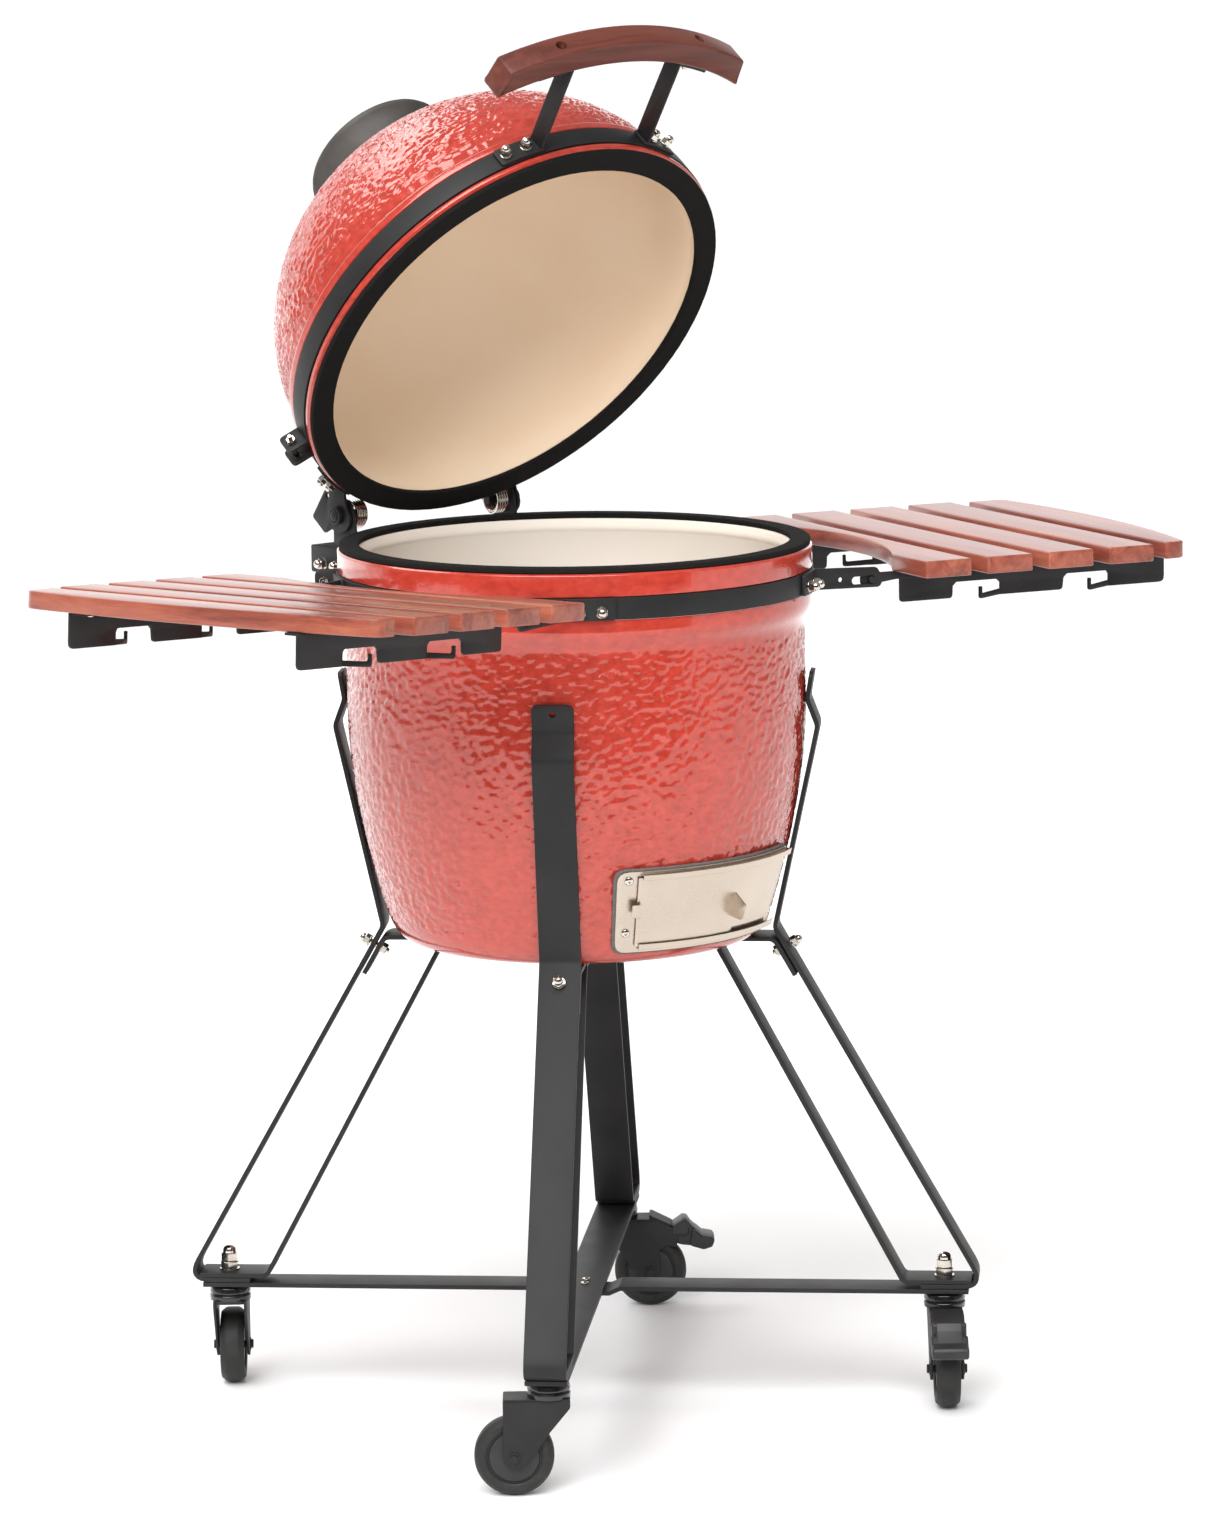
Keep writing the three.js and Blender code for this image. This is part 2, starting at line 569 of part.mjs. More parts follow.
for (const [name, side] of [["right", 1], ["left", -1]]) {
  const frame = subgroup(grill, -side * SHELF_SPLAY);
  const shelf = subgroup(frame, 0, side * SHELF_PIN[0], 0, SHELF_PIN[1]);
  if (side < 0) shelf.rotation.y = degrees(LEFT_SHELF_TILT);
  const board = subgroup(shelf, 0, -side * SHELF_PIN[0], 0, -SHELF_PIN[1]);
  for (let index = 0; index < 5; index += 1) {
    const slat = planPlate(slatShape(side, index), SLAT_TOP - SLAT_THICK, SLAT_THICK);
    add(board, `slat_${name}_${index + 1}`, slat, slatWood);
  }
  for (const [end, y, toward] of [["front", ARM_FRONT_Y, -1], ["back", ARM_BACK_Y, 1]]) {
    add(frame, `shelf_arm_${name}_${end}`, shelfArm(side, y, toward), blackSteel);
    const beside = y - toward * (ARM_SHEET + 0.5);
    add(board, `shelf_bracket_${name}_${end}`, shelfBracket(side, beside, toward), blackSteel);
  }
}

// A sheet that lies on a band between two plan angles
const bandFoot = (ends, bottom, height) =>
  arcPlate(BRACKET_INNER, BRACKET_OUTER, Math.min(...ends), Math.max(...ends), bottom, height);

// Hinge bracket on the base band, its two pins, and the springs on them
const baseEar = [
  [206, 807], [290, 807], [290, 834], [252, 838], [252, 868], [247, 880], [240, 884], [231, 884], [224, 880],
  [219.5, 872], [216, 850], [216, 832], [206, 828],
];
function hingeBaseBracket() {
  const ears = [-1, 1].map((side) => {
    const x = side * BASE_EAR_X;
    const hole = pinX(5.6, x - 5, x + 5, PIVOT_Y, PIVOT_Z);
    return cut(endPlate(baseEar, x - SHEET / 2, x + SHEET / 2), hole);
  });
  const bridge = box(2 * BASE_EAR_X, SHEET, 27, 0, 290 - SHEET / 2, 820.5);
  const backAngle = THREE.MathUtils.radToDeg(Math.asin(BASE_EAR_X / BRACKET_OUTER));
  const feet = [-1, 1].map((side) => {
    const ends = [180 - side * (backAngle - 1), 180 - side * (backAngle + 9)];
    return bandFoot(ends, BASE_BAND_BOTTOM, BAND_HEIGHT);
  });
  const clearance = turned([[150, 790], [BRACKET_INNER, 790], [BRACKET_INNER, 860], [150, 860]]);
  return join(cut(join(ears[0], ears[1], bridge), clearance), ...feet);
}
add(grill, "hinge_base_bracket", hingeBaseBracket(), blackSteel);

const SPRING_INNER = 9;
const SPRING_OUTER = 15;
for (const [name, side] of [["right", 1], ["left", -1]]) {
  const [near, far] = [78, 114].map((x) => side * x);
  const head = side * 117;
  const pin = join(
    pinX(5, Math.min(near, far), Math.max(near, far), PIVOT_Y, PIVOT_Z),
    pinX(9, Math.min(far, head), Math.max(far, head), PIVOT_Y, PIVOT_Z),
  );
  add(grill, `hinge_pin_${name}`, pin, blackSteel);
  const coil = turned([
    [SPRING_INNER, 80.5], [SPRING_OUTER, 80.5], [SPRING_OUTER, 98.5], [SPRING_INNER, 98.5],
  ], 20).rotateY(side * Math.PI / 2).translate(0, PIVOT_Y, PIVOT_Z);
  add(grill, `hinge_spring_${name}`, coil, springSteel);
}

// Lid, modelled closed and then swung open about the hinge
const hinge = subgroup(grill, 0, 0, PIVOT_Y, PIVOT_Z);
hinge.rotation.x = -degrees(LID_OPEN);
const lid = subgroup(hinge, 0, 0, -PIVOT_Y, -PIVOT_Z);

// A superellipse quarter from the shoulder in to the vent bore; the exponents set how full it is
const DOME_ROUND = 0.913;
const DOME_PEAK = 1.176;
function domeCurve(radius, base, rise, steps = 6) {
  const points = [];
  const last = Math.acos((VENT_BORE / radius) ** (1 / DOME_ROUND));
  for (let i = 0; i <= steps; i += 1) {
    const t = (last * i) / steps;
    points.push([radius * Math.cos(t) ** DOME_ROUND, base + rise * Math.sin(t) ** DOME_PEAK]);
  }
  return points;
}
const domeShell = turned([
  [229.4, LID_BOTTOM], [RIM_RADIUS, 863], [RIM_RADIUS, 867], [GROOVE_RADIUS, 868], [GROOVE_RADIUS, 890.5],
  [RIM_RADIUS, 891.5], [230.4, 897],
  ...domeCurve(DOME_SHOULDER_RADIUS, DOME_SHOULDER, DOME_RISE),
  ...domeCurve(DOME_SHOULDER_RADIUS - DOME_WALL, DOME_SHOULDER - 8, DOME_RISE - DOME_WALL + 8).reverse(),
  [205.5, 880], [RIM_INNER - 4, LID_BOTTOM],
]);
add(lid, "dome", domeShell, glaze);
add(lid, "lid_gasket", gasket(RIM_INNER - 4, LID_BOTTOM - GAP - FELT), felt);
add(lid, "lid_band", band(LID_BAND_BOTTOM, -127.2, 20), blackSteel);

// Handle, bent round the front of the lid, with two counterbored screw holes
function handleBar() {
  const shape = new THREE.Shape();
  const [outer, inner] = [[143.9, HANDLE_OUTER], [148.4, HANDLE_INNER]].map(([x, r]) => Math.asin(x / r));
  const front = -Math.PI / 2;
  shape.absarc(0, HANDLE_CENTRE_Y, HANDLE_OUTER, front - outer, front + outer, false);
  shape.absarc(0, HANDLE_CENTRE_Y, HANDLE_INNER, front + inner, front - inner, true);
  const bar = planPlate(shape, HANDLE_BOTTOM, HANDLE_HEIGHT, 8);
  const middle = HANDLE_BOTTOM + HANDLE_HEIGHT / 2;
  const holes = [-1, 1].map((side) => pinY(5.5, -360, -331, side * HANDLE_SCREW_X, middle));
  return cut(bar, ...holes);
}
add(lid, "handle", handleBar(), handleWood);

function handleStrap(side) {
  const turn = (x, radius) => side * THREE.MathUtils.radToDeg(Math.asin(x / radius));
  const between = (a, b) => [Math.min(a, b), Math.max(a, b)];
  const foot = arcPlate(BRACKET_INNER, BRACKET_OUTER,
    ...between(turn(STRAP_X - 2, BRACKET_OUTER), turn(107, BRACKET_OUTER)), 869, 20);
  const arm = endPlate([[-224, 869], [-224, 889], [-315.5, 896.4], [-315.5, 876.4]],
    side * STRAP_X - SHEET / 2, side * STRAP_X + SHEET / 2);
  const flange = arcPlate(HANDLE_INNER - 3.7, HANDLE_INNER - 0.7,
    ...between(turn(STRAP_X - 1.4, 319), turn(104, 319)), 876.4, 20).translate(0, HANDLE_CENTRE_Y, 0);
  const clearance = turned([[150, 850], [BRACKET_INNER, 850], [BRACKET_INNER, 910], [150, 910]]);
  return join(cut(arm, clearance), foot, flange);
}
add(lid, "handle_strap_left", handleStrap(-1), blackSteel);
add(lid, "handle_strap_right", handleStrap(1), blackSteel);

// Hinge bracket on the lid band: two ears outside those of the base, joined by a strip round the band
const lidEar = [
  [207, 875], [214, 873], [222, 862], [226, 853], [232, 850], [240, 850.5], [250, 857], [255, 870],
  [265.4, 875.4], [265.4, 900.5], [217.5, 900.5], [207, 889],
];
function hingeLidBracket() {
  const ears = [-1, 1].map((side) => {
    const x = side * LID_EAR_X;
    const hole = pinX(5.6, x - 5, x + 5, PIVOT_Y, PIVOT_Z);
    return cut(endPlate(lidEar, x - SHEET / 2, x + SHEET / 2), hole);
  });
  const backAngle = THREE.MathUtils.radToDeg(Math.asin(LID_EAR_X / BRACKET_OUTER));
  const feet = [-1, 1].map((side) => {
    const ends = [180 - side * (backAngle - 0.5), 180 - side * (backAngle + 11)];
    return bandFoot(ends, 869, 20);
  });
  const strip = arcPlate(
    BRACKET_INNER, BRACKET_OUTER, 180 - backAngle, 180 + backAngle, 875.5, 13.5, 32,
  );
  const clearance = turned([[150, 850], [BRACKET_INNER, 850], [BRACKET_INNER, 910], [150, 910]]);
  return join(cut(join(ears[0], ears[1]), clearance), strip, ...feet);
}
add(lid, "hinge_lid_bracket", hingeLidBracket(), blackSteel);

// Top vent: a flared housing through the dome and a turning wheel over its mouth
const VENT_LIP = 1128;
add(lid, "vent_housing", turned([
  [VENT_BORE - 0.6, 1066], [VENT_BORE - 0.6, 1087.6], [64, 1084.8], [66, 1096], [75.5, VENT_LIP],
  [70, VENT_LIP], [60, 1098], [VENT_BORE - 4, 1090], [VENT_BORE - 4, 1066],
], 24), castIron);

function ventWheel() {
  const plate = turned([
    [0, VENT_LIP + 0.4], [74.5, VENT_LIP + 0.4], [74.5, VENT_LIP + 3], [72, VENT_LIP + 4.4],
    [0, VENT_LIP + 5.4],
  ], 24);
  const holes = [];
  for (let i = 0; i < 6; i += 1) {
    holes.push(post(11, VENT_LIP - 2, VENT_LIP + 9, 44, 0).rotateZ((i * Math.PI) / 3));
  }
  const knob = post(7, VENT_LIP + 3, VENT_LIP + 17, 0, 0, 12);
  return join(cut(plate, ...holes), knob);
}
add(lid, "vent_wheel", ventWheel(), castIron);

// Stands the origin under the middle of the whole grill
const assembly = new THREE.Group();
assembly.add(grill);
assembly.updateMatrixWorld(true);
const extent = new THREE.Box3().setFromObject(grill, true);
grill.position.set(-(extent.min.x + extent.max.x) / 2, -(extent.min.y + extent.max.y) / 2, -extent.min.z);

export default assembly;
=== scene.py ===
import math

import bmesh
import bpy
from mathutils import Matrix, Vector, noise


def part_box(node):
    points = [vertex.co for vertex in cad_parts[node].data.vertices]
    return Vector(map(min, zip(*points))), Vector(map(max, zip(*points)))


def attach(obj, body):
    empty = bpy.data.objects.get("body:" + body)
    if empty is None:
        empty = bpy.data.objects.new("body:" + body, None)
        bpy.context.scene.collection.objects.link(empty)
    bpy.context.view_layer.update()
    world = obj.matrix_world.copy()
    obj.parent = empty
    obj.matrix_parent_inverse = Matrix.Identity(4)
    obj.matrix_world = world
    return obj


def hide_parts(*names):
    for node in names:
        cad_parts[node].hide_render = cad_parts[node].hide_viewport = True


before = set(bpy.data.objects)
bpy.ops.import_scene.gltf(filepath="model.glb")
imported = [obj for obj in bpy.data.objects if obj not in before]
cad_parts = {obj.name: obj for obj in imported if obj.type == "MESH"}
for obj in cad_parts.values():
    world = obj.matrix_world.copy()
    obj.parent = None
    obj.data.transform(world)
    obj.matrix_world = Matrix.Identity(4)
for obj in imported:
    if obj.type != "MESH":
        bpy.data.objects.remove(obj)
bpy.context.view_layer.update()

# Grill millimetres: origin on the floor under the bowl's axis, front towards -Y, plan angles in degrees
# from the front towards the right-hand shelf. GRILL carries them into the frame's metres.
MM = 0.001
BOWL_BOTTOM = 466.6
bowl_low, bowl_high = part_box("bowl")
GRILL = Matrix.Translation((
    (bowl_low.x + bowl_high.x) / 2, (bowl_low.y + bowl_high.y) / 2, bowl_low.z - BOWL_BOTTOM * MM,
)) @ Matrix.Scale(MM, 4)

BOWL_TOP = 850.3
RIM_INNER = 209.6
GROOVE_RADIUS = 228.6
LID_BOTTOM = 861.2
FELT = 5
BAND_INNER = 229
BAND_OUTER = 232
BRACKET_INNER = 232.5
BRACKET_OUTER = 235.5
BASE_BAND = (806.8, 827.8)
LID_BAND = (868.6, 889.6)
PIVOT = Vector((0, 235.4, 868))
LID_OPEN = 53
SHEET = 3
VENT_LIP = 1128
VENT_BORE = 46
SHELF_SPLAY = 14.2
LEFT_SHELF_TILT = 3.7
SHELF_PIN = Vector((255.5, 0, 813))
SLAT_TOP = 838
SLAT_THICK = 16.6
STEM_OUT = 355.8
BAR = 4.5
BAR_WIDTH = 40
CORNERS = {"front_left": 225, "front_right": 315, "back_right": 45, "back_left": 135}
CASTERS = {
    "front_left": (140.8, False), "front_right": (-129.3, True),
    "back_right": (-39.2, True), "back_left": (50.7, False),
}
LUG_BOLT_R = 244
LID_FOOT = (869, 889)
BASE_BOLT_Z = 817
LID_BOLT_Z = 879
SHELF_BOLT_Z = 815
HERE = Matrix.Identity(4)

X = Vector((1, 0, 0))
Y = Vector((0, 1, 0))
Z = Vector((0, 0, 1))


def turn(degrees, axis="Z"):
    return Matrix.Rotation(math.radians(degrees), 4, axis)


def shift(x, y=0.0, z=0.0):
    return Matrix.Translation((x, y, z))


def about(point, rotation):
    return Matrix.Translation(point) @ rotation @ Matrix.Translation(-Vector(point))


def plan(azimuth, radius, z=0.0):
    """The point at a plan angle from the front."""
    a = math.radians(azimuth)
    return Vector((radius * math.sin(a), -radius * math.cos(a), z))


LID = about(PIVOT, turn(-LID_OPEN, "X"))


def shelf_frame(side):
    return turn(-side * SHELF_SPLAY)


def shelf_board(side):
    tilt = LEFT_SHELF_TILT if side < 0 else 0
    pin = Vector((side * SHELF_PIN.x, 0, SHELF_PIN.z))
    return shelf_frame(side) @ about(pin, turn(tilt, "Y"))


# ---------------------------------------------------------------- mesh building, all in millimetres

def fillet(points, radius, closed=True, steps=4):
    """Rounds the corners of an outline. A point with a third value has that corner radius of its own."""
    rounded = []
    for i, point in enumerate(points):
        own = point[2] if len(point) > 2 else radius
        corner = Vector(point[:2])
        before = Vector(points[i - 1][:2]) - corner
        after = Vector(points[(i + 1) % len(points)][:2]) - corner
        is_end = not closed and i in (0, len(points) - 1)
        if is_end or own <= 0 or before.angle(after) > math.radians(179):
            rounded.append(corner)
            continue
        reach = min(own / math.tan(before.angle(after) / 2), 0.49 * before.length, 0.49 * after.length)
        first, last = corner + before.normalized() * reach, corner + after.normalized() * reach
        for k in range(steps + 1):
            t = k / steps
            rounded.append(first * (1 - t) ** 2 + corner * 2 * t * (1 - t) + last * t * t)
    return [(p.x, p.y) for p in rounded]


def circle(x, y, radius, sides=24):
    angles = [2 * math.pi * k / sides for k in range(sides)]
    return [(x + radius * math.cos(a), y + radius * math.sin(a)) for a in angles]


def oblong(x0, x1, y, radius, steps=8):
    angles = [math.pi * k / steps for k in range(steps + 1)]
    right = [(x1 + radius * math.sin(a), y - radius * math.cos(a)) for a in angles]
    return right + [(x0 - radius * math.sin(a), y + radius * math.cos(a)) for a in angles]


def rectangle(width, height, radius, steps=3):
    w, h = width / 2, height / 2
    return fillet([(-w, -h), (w, -h), (w, h), (-w, h)], radius, steps=steps)


def tidied(bm):
    bmesh.ops.remove_doubles(bm, verts=bm.verts, dist=1e-3)
    bmesh.ops.recalc_face_normals(bm, faces=bm.faces)
    return bm


def moved(bm, matrix):
    bm.transform(matrix)
    bmesh.ops.recalc_face_normals(bm, faces=bm.faces)
    return bm


def merged(*parts):
    """One bmesh that holds all the parts."""
    whole = bmesh.new()
    for part in parts:
        mesh = bpy.data.meshes.new("part")
        part.to_mesh(mesh)
        whole.from_mesh(mesh)
        bpy.data.meshes.remove(mesh)
        part.free()
    return whole


def copied(bm, matrix):
    again = bm.copy()
    again.transform(matrix)
    return again


def lathe(outline, segments=128, start=0.0, sweep=360.0):
    """Turns a closed outline of (radius, height) points about the vertical axis, from a plan angle on."""
    bm = bmesh.new()
    full = sweep >= 360
    count = segments if full else segments + 1
    angles = [math.radians(start + sweep * k / segments - 90) for k in range(count)]
    rings = []
    for radius, height in outline:
        if radius < 1e-6:
            rings.append([bm.verts.new((0, 0, height))] * count)
        else:
            rings.append([bm.verts.new((radius * math.cos(a), radius * math.sin(a), height)) for a in angles])
    for i, ring in enumerate(rings):
        below = rings[i - 1]
        for k in range(segments):
            after = (k + 1) % count
            corner = list(dict.fromkeys((below[k], below[after], ring[after], ring[k])))
            if len(corner) > 2:
                bm.faces.new(corner)
    if not full:
        bm.faces.new([ring[0] for ring in rings])
        bm.faces.new([ring[-1] for ring in reversed(rings)])
    bmesh.ops.recalc_face_normals(bm, faces=bm.faces)
    return bm


def sweep(path, section, side, widths=None, closed=False):
    """Carries a section of (along side, across) points down a path."""
    bm = bmesh.new()
    rings = []
    for i, point in enumerate(path):
        ahead = path[(i + 1) % len(path)] if closed or i < len(path) - 1 else point
        behind = path[i - 1] if closed or i > 0 else point
        along = (ahead - behind).normalized()
        across = along.cross(side).normalized()
        sideways = across.cross(along)
        width = widths[i] if widths else 1
        rings.append([bm.verts.new(point + sideways * a * width + across * b) for a, b in section])
    pairs = list(zip(rings, rings[1:] + rings[:1])) if closed else list(zip(rings, rings[1:]))
    for one, two in pairs:
        for k in range(len(section)):
            after = (k + 1) % len(section)
            bm.faces.new((one[k], one[after], two[after], two[k]))
    if not closed:
        bm.faces.new(rings[0])
        bm.faces.new(list(reversed(rings[-1])))
    bmesh.ops.recalc_face_normals(bm, faces=bm.faces)
    return bm


def rod(start, end, radius, sides=14):
    start, end = Vector(start), Vector(end)
    side = X if abs((end - start).normalized().x) < 0.9 else Y
    ease = (end - start).normalized() * min(0.4, radius / 3)
    shrink = 1 - min(0.4, radius / 3) / radius
    path = [start, start + ease, end - ease, end]
    section = circle(0, 0, radius, sides)
    bm = sweep(path, section, side)
    bm.verts.ensure_lookup_table()
    for k in range(sides):
        for vertex, centre in ((bm.verts[k], start), (bm.verts[3 * sides + k], end)):
            vertex.co = centre + (vertex.co - centre) * shrink
    return bm


def plate(outline, low, high, holes=(), ease=0.4, resolution=1):
    """A sheet cut to an outline with holes, its edges eased, lying in X-Y between two heights."""
    curve = bpy.data.curves.new("outline", "CURVE")
    curve.dimensions = "2D"
    curve.fill_mode = "BOTH"
    for loop in (outline, *holes):
        spline = curve.splines.new("POLY")
        spline.points.add(len(loop) - 1)
        for point, (x, y) in zip(spline.points, loop):
            point.co = (x, y, 0, 1)
        spline.use_cyclic_u = True
    curve.extrude = (high - low) / 2 - ease
    curve.bevel_depth = ease
    curve.bevel_resolution = resolution
    curve.offset = -ease
    holder = bpy.data.objects.new("outline", curve)
    mesh = bpy.data.meshes.new_from_object(holder)
    bm = bmesh.new()
    bm.from_mesh(mesh)
    bpy.data.objects.remove(holder)
    bpy.data.curves.remove(curve)
    bpy.data.meshes.remove(mesh)
    bmesh.ops.translate(bm, verts=bm.verts, vec=(0, 0, (low + high) / 2))
    return tidied(bm)


# The plate's own X, Y and thickness turned to stand in an X-Z or a Y-Z plane
STANDING_X = Matrix(((1, 0, 0, 0), (0, 0, 1, 0), (0, 1, 0, 0), (0, 0, 0, 1)))
STANDING_Y = Matrix(((0, 0, 1, 0), (1, 0, 0, 0), (0, 1, 0, 0), (0, 0, 0, 1)))


def side_plate(outline, low, high, **options):
    return moved(plate(outline, low, high, **options), STANDING_X)


def end_plate(outline, low, high, **options):
    return moved(plate(outline, low, high, **options), STANDING_Y)


def wrapped(bm, radius, radius_at=None, spacing=6.0):
    """Bends a flat plate, whose X runs round and whose Y is height, about the vertical axis."""
    lowest = min(v.co.x for v in bm.verts)
    highest = max(v.co.x for v in bm.verts)
    cuts = max(1, round((highest - lowest) / spacing))
    for k in range(1, cuts):
        at = lowest + (highest - lowest) * k / cuts
        everything = bm.verts[:] + bm.edges[:] + bm.faces[:]
        bmesh.ops.bisect_plane(bm, geom=everything, plane_co=(at, 0, 0), plane_no=(1, 0, 0))
    for vertex in bm.verts:
        along, height, depth = vertex.co
        reach = (radius_at(height) if radius_at else radius) + depth
        vertex.co = plan(math.degrees(along / radius), reach, height)
    bmesh.ops.recalc_face_normals(bm, faces=bm.faces)
    return bm


def arc_length(azimuth, radius):
    return math.radians(azimuth) * radius


def carved(bm, *tools):
    """Cuts the tools out of a small part."""
    def holder(part):
        mesh = bpy.data.meshes.new("carve")
        part.to_mesh(mesh)
        part.free()
        obj = bpy.data.objects.new("carve", mesh)
        bpy.context.scene.collection.objects.link(obj)
        return obj

    body = holder(bm)
    cutters = [holder(tool) for tool in tools]
    for cutter in cutters:
        modifier = body.modifiers.new("carve", "BOOLEAN")
        modifier.operation = "DIFFERENCE"
        modifier.solver = "EXACT"
        modifier.object = cutter
    evaluated = body.evaluated_get(bpy.context.evaluated_depsgraph_get())
    result = bmesh.new()
    result.from_mesh(evaluated.to_mesh())
    for obj in (body, *cutters):
        mesh = obj.data
        bpy.data.objects.remove(obj)
        bpy.data.meshes.remove(mesh)
    return result


def piece(name, bm, materials, body, place=HERE, stands_for=(), sharp=32):
    """Makes the finished object: its mesh in the frame's metres, riding on a CAD body."""
    materials = materials if isinstance(materials, (list, tuple)) else [materials]
    to_frame = GRILL @ place
    bm.transform(to_frame)
    if to_frame.determinant() < 0:
        bmesh.ops.reverse_faces(bm, faces=bm.faces)
    mesh = bpy.data.meshes.new(name)
    bm.to_mesh(mesh)
    bm.free()
    mesh.shade_smooth()
    mesh.set_sharp_from_angle(angle=math.radians(sharp))
    obj = bpy.data.objects.new(name, mesh)
    bpy.context.scene.collection.objects.link(obj)
    for material in materials:
        mesh.materials.append(material)
    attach(obj, body)
    if stands_for:
        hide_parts(*([stands_for] if isinstance(stands_for, str) else stands_for))


# ---------------------------------------------------------------- materials

class Recipe:
    """A small helper that adds shader nodes and joins them."""

    def __init__(self, name, **shader):
        self.material = bpy.data.materials.new(name)
        self.material.use_nodes = True
        self.tree = self.material.node_tree
        self.shader = self.tree.nodes["Principled BSDF"]
        for socket, value in shader.items():
            self.shader.inputs[socket.replace("_", " ")].default_value = value
        self.place = self.add("ShaderNodeTexCoord").outputs["Object"]

    def add(self, kind, **settings):
        node = self.tree.nodes.new(kind)
        for key, value in settings.items():
            setattr(node, key, value)
        return node

    def join(self, output, target):
        self.tree.links.new(output, target)

    def turned(self, degrees):
        """Turns the pattern's own axes round the vertical."""
        node = self.add("ShaderNodeMapping")
        node.inputs["Rotation"].default_value = (0, 0, math.radians(-degrees))
        self.join(self.place, node.inputs["Vector"])
        self.place = node.outputs["Vector"]

    def stretched(self, x, y, z):
        node = self.add("ShaderNodeMapping")
        node.inputs["Scale"].default_value = (x, y, z)
        self.join(self.place, node.inputs["Vector"])
        return node.outputs["Vector"]

    def noise(self, scale, detail=4.0, roughness=0.55, distortion=0.0, vector=None):
        node = self.add("ShaderNodeTexNoise")
        for socket, value in (("Scale", scale), ("Detail", detail), ("Roughness", roughness),
                              ("Distortion", distortion)):
            node.inputs[socket].default_value = value
        self.join(vector or self.place, node.inputs["Vector"])
        return node.outputs["Fac"]

    def ramp(self, factor, *stops):
        node = self.add("ShaderNodeValToRGB")
        elements = node.color_ramp.elements
        while len(elements) < len(stops):
            elements.new(0.5)
        for element, (position, color) in zip(elements, stops):
            element.position = position
            element.color = (*color, 1)
        self.join(factor, node.inputs["Fac"])
        return node.outputs["Color"]

    def between(self, factor, low, high, start=0.0, end=1.0):
        node = self.add("ShaderNodeMapRange")
        node.inputs["From Min"].default_value = start
        node.inputs["From Max"].default_value = end
        node.inputs["To Min"].default_value = low
        node.inputs["To Max"].default_value = high
        self.join(factor, node.inputs["Value"])
        return node.outputs["Result"]

    def sum(self, one, two, share):
        node = self.add("ShaderNodeMath", operation="MULTIPLY_ADD")
        self.join(two, node.inputs[0])
        node.inputs[1].default_value = share
        self.join(one, node.inputs[2])
        return node.outputs[0]

    def color(self, output):
        self.join(output, self.shader.inputs["Base Color"])

    def roughness(self, factor, low, high):
        self.join(self.between(factor, low, high), self.shader.inputs["Roughness"])

    def bump(self, height, distance, strength=1.0):
        node = self.add("ShaderNodeBump")
        node.inputs["Strength"].default_value = strength
        node.inputs["Distance"].default_value = distance
        self.join(height, node.inputs["Height"])
        self.join(node.outputs["Normal"], self.shader.inputs["Normal"])


def speckled(name, cloud, grain, dark, light, rough, bump, tint=0.0, wear=0.0, **shader):
    """
    A finish of a broad cloud with a fine grain, which makes the bump. Tint is how much of the grain is added
    to the colour and wear how much to the roughness. With wear None the roughness follows the grain alone.
    """
    r = Recipe(name, **shader)
    cloud, grain = r.noise(*cloud), r.noise(*grain)
    r.color(r.ramp(r.sum(cloud, grain, tint) if tint else cloud, dark, light))
    if wear is None:
        r.roughness(grain, *rough)
    else:
        r.roughness(r.sum(cloud, grain, wear) if wear else cloud, *rough)
    r.bump(grain, *bump)
    return r.material


def glaze_material():
    """Thick coral-red glaze: glassy, darker where it pools, with a fine ripple over the pebbled ceramic."""
    r = Recipe("red_glaze", Roughness=0.1, IOR=1.5, Specular_IOR_Level=0.9,
               Specular_Tint=(1, 0.74, 0.68, 1), Coat_Weight=0.55, Coat_Roughness=0.04)
    pools = r.noise(95, 3, 0.5, 0.3, r.stretched(1, 1, 1.5))
    broad = r.noise(7, 2, 0.5)
    r.color(r.ramp(r.sum(pools, broad, 0.35), (0.35, (0.31, 0.025, 0.015)), (0.62, (0.41, 0.037, 0.023)),
                   (0.9, (0.49, 0.050, 0.033))))
    r.roughness(pools, 0.16, 0.08)
    r.bump(r.noise(260, 3, 0.5, 0.2, r.stretched(1, 1, 1.6)), 0.0003, 0.6)
    return r.material


def cream_material(name, dark, middle, light):
    r = Recipe(name, Roughness=0.6, IOR=1.45)
    broad, specks = r.noise(9, 3, 0.5), r.noise(420, 2, 0.6)
    r.color(r.ramp(r.sum(broad, specks, 0.25), (0.3, dark), (0.6, middle), (0.85, light)))
    r.roughness(specks, 0.5, 0.7)
    r.bump(r.sum(r.noise(130, 4, 0.6), r.noise(600, 2, 0.6), 0.5), 0.0003, 0.35)
    return r.material


def felt_material(name, dark, light):
    r = Recipe(name, Roughness=0.95, Specular_IOR_Level=0.15)
    fibres = r.noise(900, 5, 0.75, 1.2)
    r.color(r.ramp(fibres, (0.35, dark), (0.7, light)))
    r.roughness(fibres, 0.88, 1.0)
    r.bump(r.sum(fibres, r.noise(140, 3, 0.6), 0.8), 0.0007, 0.8)
    return r.material


def stainless_material():
    r = Recipe("polished_stainless_painted_reflection", Roughness=0.2, Metallic=1.0)
    lines = r.noise(160, 3, 0.6, 0.0, r.stretched(0.6, 0.6, 16))
    cloud = r.noise(12, 3, 0.5)
    # The warm brown base colour is a painted reflection of a cream floor, with a cloud of random tone.
    r.color(r.ramp(cloud, (0.3, (0.56, 0.48, 0.40)), (0.7, (0.66, 0.57, 0.48))))
    r.roughness(r.sum(cloud, lines, 0.6), 0.12, 0.34)
    r.bump(lines, 0.00002, 0.3)
    return r.material


def cast_iron_material(name, dark, light):
    return speckled(name, (30, 4, 0.6), (700, 4, 0.7), (0.35, dark), (0.8, light), (0.48, 0.72),
                    (0.0003, 0.5), tint=0.3, wear=None, Roughness=0.6, Metallic=0.3, IOR=1.5)


